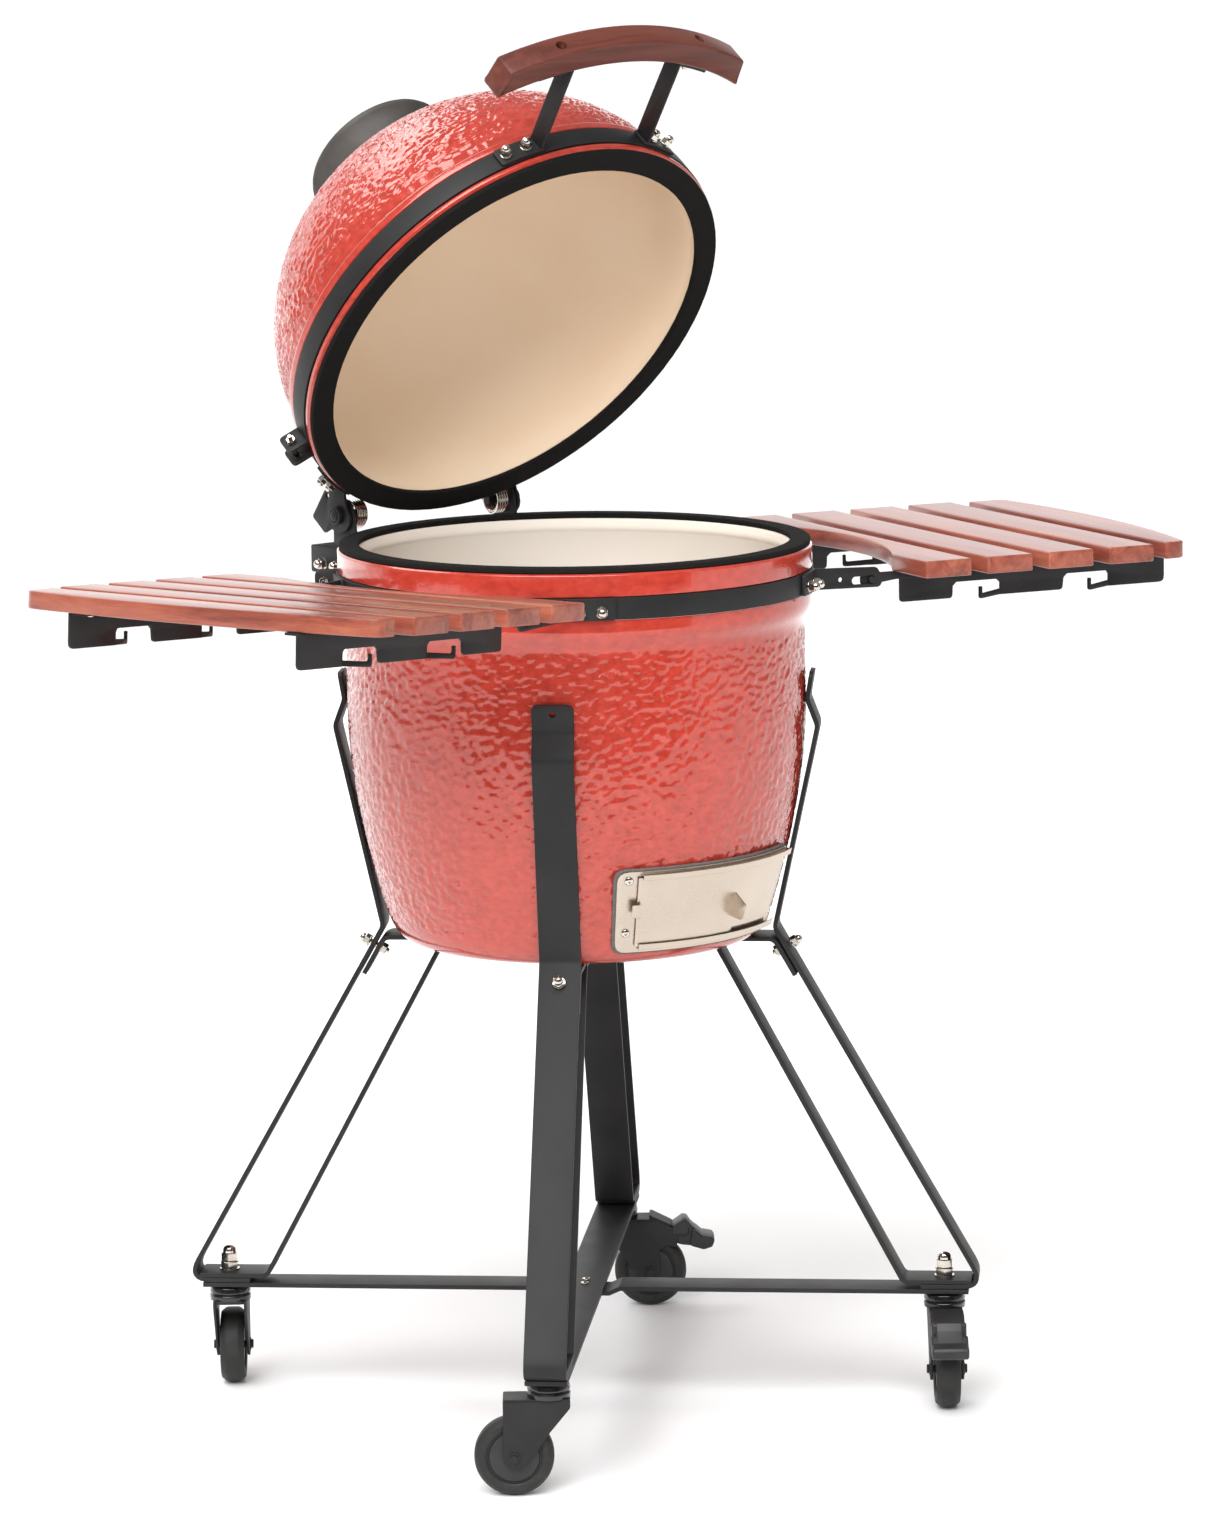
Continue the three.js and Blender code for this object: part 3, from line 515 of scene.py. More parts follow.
def wood_material(name, dark, middle, light, along, facing=0.0, gloss=0.1):
    """Stained timber: long grain streaks along one axis, small open pores, and a satin varnish."""
    r = Recipe(name, Roughness=0.4, IOR=1.5, Specular_IOR_Level=0.3, Coat_Weight=gloss, Coat_Roughness=0.2)
    r.turned(facing)

    def streaks(share, *settings):
        return r.noise(*settings, r.stretched(*[share if axis == along else 1.0 for axis in "xyz"]))

    grain = streaks(0.06, 75, 6, 0.62, 0.7)
    broad = streaks(0.3, 16, 3, 0.5, 0.4)
    tone = streaks(0.02, 14, 1, 0.4, 0.0)
    pores = streaks(0.05, 850, 2, 0.5, 0.0)
    mix = r.sum(r.sum(r.sum(grain, broad, 0.3), tone, 0.45), pores, 0.18)
    r.color(r.ramp(r.between(mix, 0, 1, 0.66, 1.3), (0.12, dark), (0.48, middle), (0.88, light)))
    r.roughness(grain, 0.34, 0.5)
    r.bump(r.sum(pores, grain, 0.6), 0.00018, 0.4)
    return r.material


glaze = glaze_material()
# The one cream lining in two copies that paint the light on each: the bowl's copy is painted paler for its
# lit inside, the dome's copy painted darker and warmer for the shade under the lid.
bowl_cream_painted_light = cream_material("cream_bowl_lining_painted_light", (0.90, 0.83, 0.74), (0.92, 0.86, 0.78), (0.94, 0.88, 0.81))
dome_cream_painted_shade = cream_material("cream_dome_lining_painted_shade", (0.85, 0.67, 0.49), (0.88, 0.71, 0.53), (0.90, 0.74, 0.57))
fireclay = speckled(
    "fireclay", (14, 4, 0.6), (220, 5, 0.7), (0.3, (0.52, 0.42, 0.30)), (0.7, (0.66, 0.56, 0.43)),
    (0.75, 0.9), (0.0006, 0.6), Roughness=0.8, IOR=1.45)
felt = felt_material("black_felt", (0.006, 0.006, 0.006), (0.016, 0.015, 0.014))
grey_felt = felt_material("grey_felt", (0.09, 0.08, 0.075), (0.21, 0.19, 0.18))
black_steel = speckled(
    "black_powder_coat", (22, 3, 0.5), (1500, 2, 0.5), (0.3, (0.011, 0.0105, 0.0105)),
    (0.7, (0.018, 0.0172, 0.017)), (0.34, 0.56), (0.00006, 0.35), wear=0.4,
    Roughness=0.42, IOR=1.5, Specular_IOR_Level=0.3)
gloss_black = speckled(
    "gloss_black", (90, 3, 0.5), (420, 2, 0.5), (0.3, (0.006, 0.006, 0.007)), (0.7, (0.012, 0.012, 0.013)),
    (0.08, 0.2), (0.00006, 0.3), Roughness=0.12, IOR=1.5, Coat_Weight=0.5, Coat_Roughness=0.05)
stainless_painted_reflection = stainless_material()
chrome = speckled(
    "nickel_plate", (160, 3, 0.5), (500, 2, 0.5), (0.3, (0.62, 0.57, 0.50)), (0.7, (0.78, 0.74, 0.68)),
    (0.08, 0.2), (0.00003, 0.3), Roughness=0.12, Metallic=1.0)
vent_iron = cast_iron_material("coated_cast_iron", (0.045, 0.042, 0.038), (0.085, 0.08, 0.073))
grate_iron = cast_iron_material("bare_cast_iron", (0.05, 0.048, 0.046), (0.10, 0.095, 0.09))
slat_wood = {
    side: wood_material("slat_timber_" + name, (0.15, 0.032, 0.020), (0.28, 0.068, 0.040), (0.40, 0.12, 0.07),
                        "y", facing=-side * SHELF_SPLAY, gloss=0.6)
    for name, side in (("right", 1), ("left", -1))
}
handle_wood = wood_material(
    "handle_timber", (0.06, 0.015, 0.010), (0.105, 0.026, 0.017), (0.15, 0.040, 0.026), "x")
rubber = speckled(
    "grey_black_rubber", (60, 3, 0.6), (1100, 3, 0.6), (0.35, (0.012, 0.012, 0.012)),
    (0.85, (0.024, 0.0235, 0.0225)), (0.45, 0.66), (0.00008, 0.4), tint=0.3, wear=None,
    Roughness=0.55, IOR=1.5, Specular_IOR_Level=0.3)
plastic = speckled(
    "black_moulded_plastic", (40, 2, 0.5), (1400, 2, 0.5), (0.3, (0.014, 0.014, 0.014)),
    (0.7, (0.022, 0.022, 0.022)), (0.34, 0.5), (0.00005, 0.4), wear=None, Roughness=0.4, IOR=1.46)

# ---------------------------------------------------------------- fasteners, standing on a surface at z = 0

def washer(outer, inner=0.0, thick=1.2):
    return lathe(fillet([(inner, 0), (outer, 0), (outer, thick), (inner, thick)], 0.3, steps=2), 28)


def hexagon(flats, low, high):
    corner = flats / math.sqrt(3)
    ease = flats * 0.05
    return lathe([(0, low), (corner - ease, low), (corner, low + ease), (corner, high - ease),
                  (corner - ease, high), (0, high)], 6)


def dome_nut(flats=10.0):
    """A washer, a hexagon and a domed cap."""
    cap = flats * 0.45
    top = 1.2 + flats * 0.55
    curve = [(cap * math.cos(t), top + flats * 0.12 + cap * 0.85 * math.sin(t))
             for t in (math.pi / 2 * k / 7 for k in range(7))]
    return merged(washer(flats * 0.62), hexagon(flats, 1.2, top),
                  lathe([(0, top - 1), (cap, top - 1), *curve, (0, top + flats * 0.12 + cap * 0.85)], 24))


def hex_nut(flats=10.0, shank=5.0, beyond=4.0):
    high = 1.2 + flats * 0.5
    tip = lathe([(0, 0.4), (shank / 2, 0.4), (shank / 2, high + beyond - 0.6),
                 (shank / 2 - 0.6, high + beyond), (0, high + beyond)], 18)
    return merged(washer(flats * 0.62), hexagon(flats, 1.2, high), tip)


def round_head(radius, rise, low=0.0):
    curve = [(radius * math.cos(t), low + rise * 0.35 + rise * 0.65 * math.sin(t))
             for t in (math.pi / 2 * k / 6 for k in range(6))]
    return lathe([(0, low), (radius, low), *curve, (0, low + rise)], 28)


def cross_screw(radius=4.2, rise=2.6):
    """A pan head with a cross cut into it."""
    cut = [(0, rise * 0.45), (radius * 0.55, rise * 0.45), (radius * 0.55, rise + 1), (0, rise + 1)]
    arms = []
    for stretch in ((1, 0.26, 1, 1), (0.26, 1, 1, 1)):
        arm = lathe(cut, 4)
        arm.transform(turn(45))
        arm.transform(Matrix.Diagonal(stretch))
        arms.append(arm)
    return carved(round_head(radius, rise), *arms)


def at(point, direction):
    """Stands a fastener on a point, facing a direction."""
    return Matrix.Translation(Vector(point)) @ Vector(direction).to_track_quat("Z", "Y").to_matrix().to_4x4()


def on_band(azimuth, height, radius=BRACKET_OUTER):
    return at(plan(azimuth, radius, height), plan(azimuth, 1))


# ---------------------------------------------------------------- ceramic bowl and dome

BOWL_PEBBLE = (5.8, 0.9)
DOME_PEBBLE = (4.8, 1.05)
ROUND = 600


def pebbled(bm, mask, size, depth):
    """Raises soft irregular islands on the outer wall, longer round than high."""
    for vertex in bm.verts:
        amount = mask(vertex.co)
        if amount <= 0:
            continue
        at_point = Vector((vertex.co.x, vertex.co.y, vertex.co.z * 1.7)) / size
        swell = noise.noise(at_point) + 0.45 * noise.noise(at_point * 2.1 + Vector((7, 3, 1)))
        drift = 0.5 + 0.5 * noise.noise(at_point * 0.2)
        height = math.tanh(swell * 4.2) * (0.55 + 0.45 * drift)
        vertex.co += vertex.normal * height * depth * amount


def smooth_step(low, high, value):
    t = min(1, max(0, (value - low) / (high - low)))
    return t * t * (3 - 2 * t)


def bezier(points, count):
    a, b, c, d = (Vector(p) for p in points)
    made = []
    for k in range(count + 1):
        t = k / count
        p = a * (1 - t) ** 3 + b * 3 * t * (1 - t) ** 2 + c * 3 * t * t * (1 - t) + d * t ** 3
        made.append((p.x, p.y))
    return made


def paint_inside(bm, is_inside):
    bm.normal_update()
    for face in bm.faces:
        centre = face.calc_center_median()
        radial = Vector((centre.x, centre.y, 0)).normalized()
        face.material_index = 1 if is_inside(centre, face.normal, face.normal.dot(radial)) else 0


def opened_port(bm, azimuth, half, low, high):
    """Opens a window through a turned wall: clears both skins and joins their edges."""
    gone = []
    for face in bm.faces:
        centre = face.calc_center_median()
        angle = math.degrees(math.atan2(centre.x, -centre.y))
        if abs(angle - azimuth) < half and low < centre.z < high:
            gone.append(face)
    bmesh.ops.delete(bm, geom=gone, context="FACES")
    rim = [edge for edge in bm.edges if edge.is_boundary]
    bmesh.ops.bridge_loops(bm, edges=rim)
    bmesh.ops.recalc_face_normals(bm, faces=bm.faces)


def make_bowl():
    wall = bezier([(186, 487), (198, 527), (223.4, 610), (223.4, 700)], 96)
    upper = [(223.4 - 0.9 * k / 34, 700 + 72 * k / 34) for k in range(1, 35)]
    foot = bezier([(160, BOWL_BOTTOM), (172, BOWL_BOTTOM), (181, 473), (186, 487)], 10)[:-1]
    collar = bezier([(222.5, 772), (222.5, 784), (230.9, 785), (231, 797)], 12)[1:]
    rim = fillet([(231, 806.4, 0.6), (GROOVE_RADIUS, 806.5, 0.3), (GROOVE_RADIUS, 828, 0.6),
                  (231, 828.6, 1.2), (231, 848.6, 1.6), (229, BOWL_TOP, 0.8), (RIM_INNER, BOWL_TOP, 2),
                  (206.5, 840, 8)], 1)
    lining = [(203.5, 780), (202.6, 740), (201, 700), (198, 650), (194, 600), (189, 566), (183, 540),
              (176, 518), (168, 503), (160, 495), (150, 490), (0, 490)]
    bm = lathe([(0, BOWL_BOTTOM), (120, BOWL_BOTTOM), *foot, *wall, *upper, *collar, *rim, *lining], ROUND)
    bm.normal_update()
    pebbled(bm, lambda p: smooth_step(486, 496, p.z) * (1 - smooth_step(766, 778, p.z))
            * (math.hypot(p.x, p.y) > 184 and p.z < 779 and is_outer_wall(p)), *BOWL_PEBBLE)
    opened_port(bm, 1.5, 20, 500, 545)
    paint_inside(bm, lambda c, n, out: out < -0.1 or (c.z > 489 and c.z < 500 and n.z > 0.5))
    piece("glazed_bowl", bm, [glaze, bowl_cream_painted_light], "stand", stands_for="bowl", sharp=50)


def is_outer_wall(point):
    lining_radius = 168 + 35.5 * smooth_step(503, 640, point.z)
    return math.hypot(point.x, point.y) > lining_radius + 9


DOME_SHOULDER = (222.6, 912.3)
DOME_RISE = 177.4
DOME_WALL = 21
DOME_ROUND = 0.913
DOME_PEAK = 1.176


def dome_curve(radius, base, rise, count):
    last = math.acos((VENT_BORE / radius) ** (1 / DOME_ROUND))
    return [(radius * math.cos(last * k / count) ** DOME_ROUND,
             base + rise * math.sin(last * k / count) ** DOME_PEAK) for k in range(count + 1)]


def make_dome():
    radius, base = DOME_SHOULDER
    rim = fillet([(RIM_INNER - 4, LID_BOTTOM, 2), (229, LID_BOTTOM, 0.8), (231, 863, 1.4), (231, 867, 1.4),
                  (GROOVE_RADIUS, 868, 0.6), (GROOVE_RADIUS, 890.4, 0.6), (231, 891.4, 1.4), (231, 898.5, 3),
                  (224.6, 905.5, 4)], 1)
    outside = dome_curve(radius, base, DOME_RISE, 120)
    inside = dome_curve(radius - DOME_WALL, base - 8, DOME_RISE - DOME_WALL + 8, 40)
    outline = [*rim, *outside, *reversed(inside), (203.6, 880), (205, 868)]
    bm = lathe(outline, ROUND)
    bm.normal_update()
    inner_limit = radius - DOME_WALL + 4

    def mask(p):
        outward = p.z > base - 4 and dome_outside(p)
        return smooth_step(908, 918, p.z) * (1 - smooth_step(1082, 1087, p.z)) * outward

    def dome_outside(p):
        share = min(1.0, math.hypot(p.x, p.y) / inner_limit)
        angle = math.acos(share ** (1 / DOME_ROUND))
        inner_height = base - 8 + (DOME_RISE - DOME_WALL + 8) * math.sin(angle) ** DOME_PEAK
        return share >= 1 or p.z > inner_height + 7

    pebbled(bm, mask, *DOME_PEBBLE)
    paint_inside(bm, lambda c, n, out: (out < -0.1 or n.z < -0.3) and math.hypot(c.x, c.y) < 212)
    piece("glazed_dome", bm, [glaze, dome_cream_painted_shade], "lid", LID, "dome", sharp=50)


def make_gasket(name, inner, low, high, body, place, node):
    """Dense felt: a square section with worn corners and a slightly uneven surface."""
    section = fillet([(inner, low), (229.2, low), (229.2, high), (inner, high)], 1.5)
    mid = (inner + 229.2) / 2
    bm = lathe(section, 420)
    for vertex in bm.verts:
        wander = noise.noise(vertex.co / 3.1) + 0.6 * noise.noise(vertex.co / 1.4)
        outward = Vector((vertex.co.x, vertex.co.y, 0)).normalized()
        towards = 1 if math.hypot(vertex.co.x, vertex.co.y) > mid else -1
        vertex.co += outward * towards * wander * 0.22
    piece(name, bm, felt, body, place, node, sharp=60)


# ---------------------------------------------------------------- bands and their clamps

def make_band(name, levels, lug_azimuth, lug_gap, body, place, node, slotted):
    low, high = levels
    middle = (low + high) / 2
    half_gap = math.degrees(math.asin((lug_gap / 2 + 0.4) / BAND_OUTER))
    section = [(p[0] + (BAND_INNER + BAND_OUTER) / 2, p[1] + middle)
               for p in rectangle(BAND_OUTER - BAND_INNER, high - low, 0.7)]
    ring = lathe(section, 240, lug_azimuth + half_gap, 360 - 2 * half_gap)
    lugs = []
    for side in (-1, 1):
        hole = circle(LUG_BOLT_R, middle, 2.8)
        if slotted and side > 0:
            hole = oblong(LUG_BOLT_R - 2, LUG_BOLT_R + 2, middle, 2.6)
        outline = fillet([(229.6, low, 0), (253, low, 5), (253, high, 5), (229.6, high, 0)], 1)
        near = side * (lug_gap / 2)
        far = side * (lug_gap / 2 + SHEET)
        lugs.append(side_plate(outline, min(near, far), max(near, far), holes=[hole], ease=0.6))
    lug_place = turn(lug_azimuth - 90)
    bm = merged(ring, *[moved(lug, lug_place) for lug in lugs])
    piece(name, bm, black_steel, body, place, node)
    screw = merged(
        copied(round_head(4.6, 3.2), at((LUG_BOLT_R, -lug_gap / 2 - SHEET, middle), (0, -1, 0))),
        rod((LUG_BOLT_R, -lug_gap / 2 - SHEET, middle), (LUG_BOLT_R, lug_gap / 2 + SHEET + 9, middle), 2.2),
        copied(hexagon(8.5, 0, 4), at((LUG_BOLT_R, lug_gap / 2 + SHEET, middle), (0, 1, 0))),
    )
    piece(name + "_clamp_screw", screw, chrome, body, place @ lug_place)


# ---------------------------------------------------------------- hinge

def curved_foot(first, last, low, high, bolts=(), corner=3.0):
    """A sheet that lies round the band between two plan angles."""
    from_u, to_u = sorted((arc_length(first, BRACKET_INNER), arc_length(last, BRACKET_INNER)))
    outline = fillet([(from_u, low), (to_u, low), (to_u, high), (from_u, high)], corner)
    holes = [circle(arc_length(b, BRACKET_INNER), (low + high) / 2, 2.6, 16) for b in bolts]
    return wrapped(plate(outline, 0, SHEET, holes=holes, ease=0.5), BRACKET_INNER)


BASE_EAR = [(209.6, 807), (290, 807, 2.5), (290, 834, 2.5), (252, 838, 4), (252, 868, 6), (247, 880, 8),
            (240, 884, 8), (231, 884, 8), (224, 880, 8), (219.5, 872, 6), (216, 850, 6), (216, 832, 3),
            (209.6, 828, 1)]
LID_EAR = [(207, 875, 1), (214, 873, 3), (222, 862, 3), (226, 853, 6), (232, 850, 7), (240, 850.5, 7),
           (250, 857, 8), (255, 870, 4), (265.4, 875.4, 3), (265.4, 900.5, 3), (217.5, 900.5, 3),
           (207, 889, 2)]
EAR_ROUND = 24
BASE_EAR_X = 101.5
LID_EAR_X = 107


def make_hinge():
    back = math.degrees(math.asin(BASE_EAR_X / BRACKET_OUTER))
    parts = []
    bolts = []
    for side in (-1, 1):
        x = side * BASE_EAR_X
        pivot_hole = circle(PIVOT.y, PIVOT.z, 5.5)
        parts.append(end_plate(fillet(BASE_EAR, 1), x - SHEET / 2, x + SHEET / 2, holes=[pivot_hole],
                               ease=0.5))
        ends = [180 - side * (back - 1), 180 - side * (back + 9)]
        parts.append(curved_foot(*ends, *BASE_BAND))
        bolts.append(copied(dome_nut(9), on_band(180 - side * (back + 6), BASE_BOLT_Z)))
        for y in (268.8, 244):
            bolts.append(copied(dome_nut(10), at((x + side * SHEET / 2, y, 816.7), (side, 0, 0))))
    bridge = fillet([(-BASE_EAR_X, 807), (BASE_EAR_X, 807), (BASE_EAR_X, 834), (-BASE_EAR_X, 834)], 1.5)
    parts.append(side_plate(bridge, 290 - SHEET, 290, ease=0.6))
    piece("hinge_base", merged(*parts), black_steel, "stand", stands_for="hinge_base_bracket")
    piece("hinge_base_bolts", merged(*bolts), chrome, "stand")

    back = math.degrees(math.asin(LID_EAR_X / BRACKET_OUTER))
    parts = []
    bolts = []
    for side in (-1, 1):
        x = side * LID_EAR_X
        holes = [circle(PIVOT.y, PIVOT.z, 5.5), circle(231.9, 893.8, 2.6, 16)]
        parts.append(end_plate(fillet(LID_EAR, 1), x - SHEET / 2, x + SHEET / 2, holes=holes, ease=0.5))
        ends = [180 - side * (back - 0.5), 180 - side * (back + 11)]
        parts.append(curved_foot(*ends, *LID_FOOT))
        for along in (4.5, 8.5):
            bolts.append(copied(dome_nut(9), on_band(180 - side * (back + along), LID_BOLT_Z)))
    parts.append(curved_foot(180 - back, 180 + back, 875.5, 889, corner=0.5))
    piece("hinge_lid_part", merged(*parts), black_steel, "lid", LID, "hinge_lid_bracket")
    piece("hinge_lid_bolts", merged(*bolts), chrome, "lid", LID)

    for name, side in (("right", 1), ("left", -1)):
        shank = rod((side * 78, PIVOT.y, PIVOT.z), (side * 109, PIVOT.y, PIVOT.z), 5, 24)
        facing = at((side * 113.5, PIVOT.y, PIVOT.z), (side, 0, 0))
        collar = lathe(fillet([(0, -4.5), (9, -4.5), (9, 1.0), (6.6, 1.6), (6.6, 0.6), (0, 0.6)], 0.5), 32)
        head = merged(collar, round_head(5.6, 2.6, 0.4))
        piece("hinge_pivot_" + name, merged(shank, moved(head, facing)), black_steel, "stand",
              stands_for="hinge_pin_" + name)
        make_spring(name, side)


def make_spring(name, side):
    """A close coil of round wire on the pivot."""
    wire, mean, first, last, turns = 2.0, 12.8, 82.8, 96.4, 4.25
    steps = 150
    path = []
    for k in range(steps + 1):
        angle = 2 * math.pi * turns * k / steps
        x = side * (first + (last - first) * k / steps)
        path.append(Vector((x, PIVOT.y + mean * math.cos(angle), PIVOT.z + mean * math.sin(angle))))
    coil = sweep(path, circle(0, 0, wire, 12), X)
    piece("hinge_coil_" + name, coil, chrome, "stand", stands_for="hinge_spring_" + name,
          sharp=70)


# ---------------------------------------------------------------- handle

HANDLE_Y = -3
HANDLE_OUTER = 346.6
HANDLE_INNER = 321.5
HANDLE_LOW = 872.4
HANDLE_HIGH = 900.2
HANDLE_SCREW_X = 85
STRAP_X = 66


def make_handle():
    def arc(radius, half_width, steps=36):
        reach = math.asin(half_width / radius)
        angles = [-math.pi / 2 - reach + 2 * reach * k / steps for k in range(steps + 1)]
        return [(radius * math.cos(a), HANDLE_Y + radius * math.sin(a)) for a in angles]

    outer, inner = arc(HANDLE_OUTER, 143.9), arc(HANDLE_INNER, 148.4)
    outline = [(*p, 0) for p in outer[1:-1]]
    outline = [(*outer[0], 4), *outline, (*outer[-1], 4), (*inner[-1], 4), *[(*p, 0) for p in inner[-2:0:-1]],
               (*inner[0], 4)]
    bar = plate(fillet(outline, 0), HANDLE_LOW, HANDLE_HIGH, ease=3.2, resolution=3)
    middle = (HANDLE_LOW + HANDLE_HIGH) / 2
    bores = [rod((side * HANDLE_SCREW_X, -360, middle), (side * HANDLE_SCREW_X, -329, middle), 5.4, 32)
             for side in (-1, 1)]
    piece("wooden_handle", carved(bar, *bores), handle_wood, "lid", LID, "handle", sharp=40)
    for name, side in (("left", -1), ("right", 1)):
        make_strap(name, side)


def make_strap(name, side):
    foot = curved_foot(side * 15.0, side * math.degrees(math.asin(107 / BRACKET_OUTER)), *LID_FOOT,
                       corner=2.5)
    foot_low, foot_high = LID_FOOT
    arm = end_plate(fillet([(-222.8, foot_low), (-222.8, foot_high), (-315.5, 896.4), (-315.5, 876.4)], 1.2),
                    side * STRAP_X - SHEET / 2, side * STRAP_X + SHEET / 2, ease=0.5)
    from_u, to_u = sorted(arc_length(side * math.degrees(math.asin(x / 319)), HANDLE_INNER)
                          for x in (64.6, 104))
    flange = plate(fillet([(from_u, 876.4), (to_u, 876.4), (to_u, 896.4), (from_u, 896.4)], 3), -3.7, -0.7,
                   ease=0.5)
    flange = moved(wrapped(flange, HANDLE_INNER), shift(0, HANDLE_Y, 0))
    piece("handle_arm_" + name, merged(foot, arm, flange), black_steel, "lid", LID, "handle_strap_" + name)
    bolts = [copied(dome_nut(9.5), on_band(side * azimuth, LID_BOLT_Z)) for azimuth in (24.7, 19.4)]
    middle = (HANDLE_LOW + HANDLE_HIGH) / 2
    seat = at((side * HANDLE_SCREW_X, -331.4, middle), (0, -1, 0))
    bolts.append(copied(round_head(4.6, 2.6), seat))
    under = plan(side * math.degrees(math.asin(HANDLE_SCREW_X / HANDLE_INNER)), HANDLE_INNER - 3.7, middle)
    bolts.append(copied(hex_nut(8, 4, 2), at(under + Vector((0, HANDLE_Y, 0)), -plan(
        side * math.degrees(math.asin(HANDLE_SCREW_X / HANDLE_INNER)), 1))))
    piece("handle_bolts_" + name, merged(*bolts), chrome, "lid", LID)


# ---------------------------------------------------------------- top vent

def make_vent():
    outside = bezier([(64.4, 1084.9), (64.6, 1100), (69, 1118), (75.3, 1126.2)], 18)
    throat = bezier([(69.5, VENT_LIP), (63, 1116), (52, 1103), (VENT_BORE - 4, 1091)], 14)
    outline = [(VENT_BORE - 0.8, 1066), (VENT_BORE - 0.8, 1087.4), (62, 1085.4), *outside, (75.5, 1127.4),
               (74.6, VENT_LIP), *throat, (VENT_BORE - 4, 1066)]
    piece("vent_cup", lathe(outline, 128), vent_iron, "lid", LID, "vent_housing")

    low, high = VENT_LIP + 0.4, VENT_LIP + 4.2
    holes = []
    for k in range(6):
        a = math.radians(60 * k)
        holes.append(circle(44 * math.cos(a), 44 * math.sin(a), 11.2, 32))
    disc = plate(circle(0, 0, 73.4, 128), low, high, holes=holes, ease=1.0, resolution=2)
    ribs = []
    for k in range(6):
        rib = side_plate(fillet([(10, high - 0.6), (66, high - 0.6), (64, high + 1.0), (12, high + 3)], 0.8),
                         -1.6, 1.6)
        ribs.append(moved(rib, turn(60 * k + 30)))
    knob = lathe(fillet([(0, high - 1), (12, high - 1), (11, high + 2), (7, high + 4), (6.6, high + 9),
                         (7.4, high + 12), (5, high + 12.8), (0, high + 12.8)], 1.2), 36)
    piece("vent_cap", merged(disc, *ribs, knob), vent_iron, "vent_wheel", LID, "vent_wheel")


# ---------------------------------------------------------------- grates and fire bowl

GRATE_Z = 800.5
GRATE_RADIUS = 193
ROD_PITCH = 20
ROD_SPREAD = 160


def make_inside():
    hoop = [plan(360 * k / 160, GRATE_RADIUS - 3.1, GRATE_Z - 1.4) for k in range(160)]
    parts = [sweep(hoop, circle(0, 0, 3.0, 14), Z, closed=True)]
    y = -ROD_SPREAD
    while y <= ROD_SPREAD:
        reach = math.sqrt((GRATE_RADIUS - 3) ** 2 - y ** 2)
        parts.append(rod((-reach, y, GRATE_Z + 2), (reach, y, GRATE_Z + 2), 2.1, 12))
        y += ROD_PITCH
    for x in (-75, 75):
        parts.append(rod((x, -174, GRATE_Z - 1.5), (x, 174, GRATE_Z - 1.5), 2.5, 12))
    piece("wire_grate", merged(*parts), stainless_painted_reflection, "stand", stands_for="cooking_grate",
          sharp=60)

    ring = lathe(fillet([(172, 690.8), (192, 690.8), (195.3, 795.5), (175.3, 795.5)], 3.5), 180)
    piece("fire_clay_ring", ring, fireclay, "stand", stands_for="fire_ring")

    pot = lathe(fillet([(60, 490.8), (148, 490.8), (160, 503), (175, 545), (192, 690), (172, 690), (148, 545),
                        (118, 518), (60, 518)], 3.5), 180)
    opened_port(pot, 0, 16, 497, 511)
    piece("fire_clay_pot", pot, fireclay, "stand", stands_for="fire_bowl")


# ---------------------------------------------------------------- draft door

CONE_LOW = 482
CONE_RADIUS = 188.8
CONE_SLOPE = 0.285
DRAFT_LOW = 481
DRAFT_HIGH = 563
DRAFT_FROM = -29.5
DRAFT_TO = 32.5
DRAFT_SHEET = 1.5
DOOR_DEPTH = 3.4
DOOR_SHEET = 1.2
DRAFT_ROUND = 200.0


def cone(z):
    return CONE_RADIUS + (z - CONE_LOW) * CONE_SLOPE


def on_cone(azimuth, z, out=0.0):
    tilt = math.atan(CONE_SLOPE)
    facing = plan(azimuth, math.cos(tilt)) - Z * math.sin(tilt)
    return at(plan(azimuth, cone(z) + out, z), facing)


def draft_outline(from_azimuth, to_azimuth, low, high, corner):
    first, last = arc_length(from_azimuth, DRAFT_ROUND), arc_length(to_azimuth, DRAFT_ROUND)
    return fillet([(first, low), (last, low), (last, high), (first, high)], corner)


RAIL_FROM = -22.9
RAIL_SWEEP = 54.8


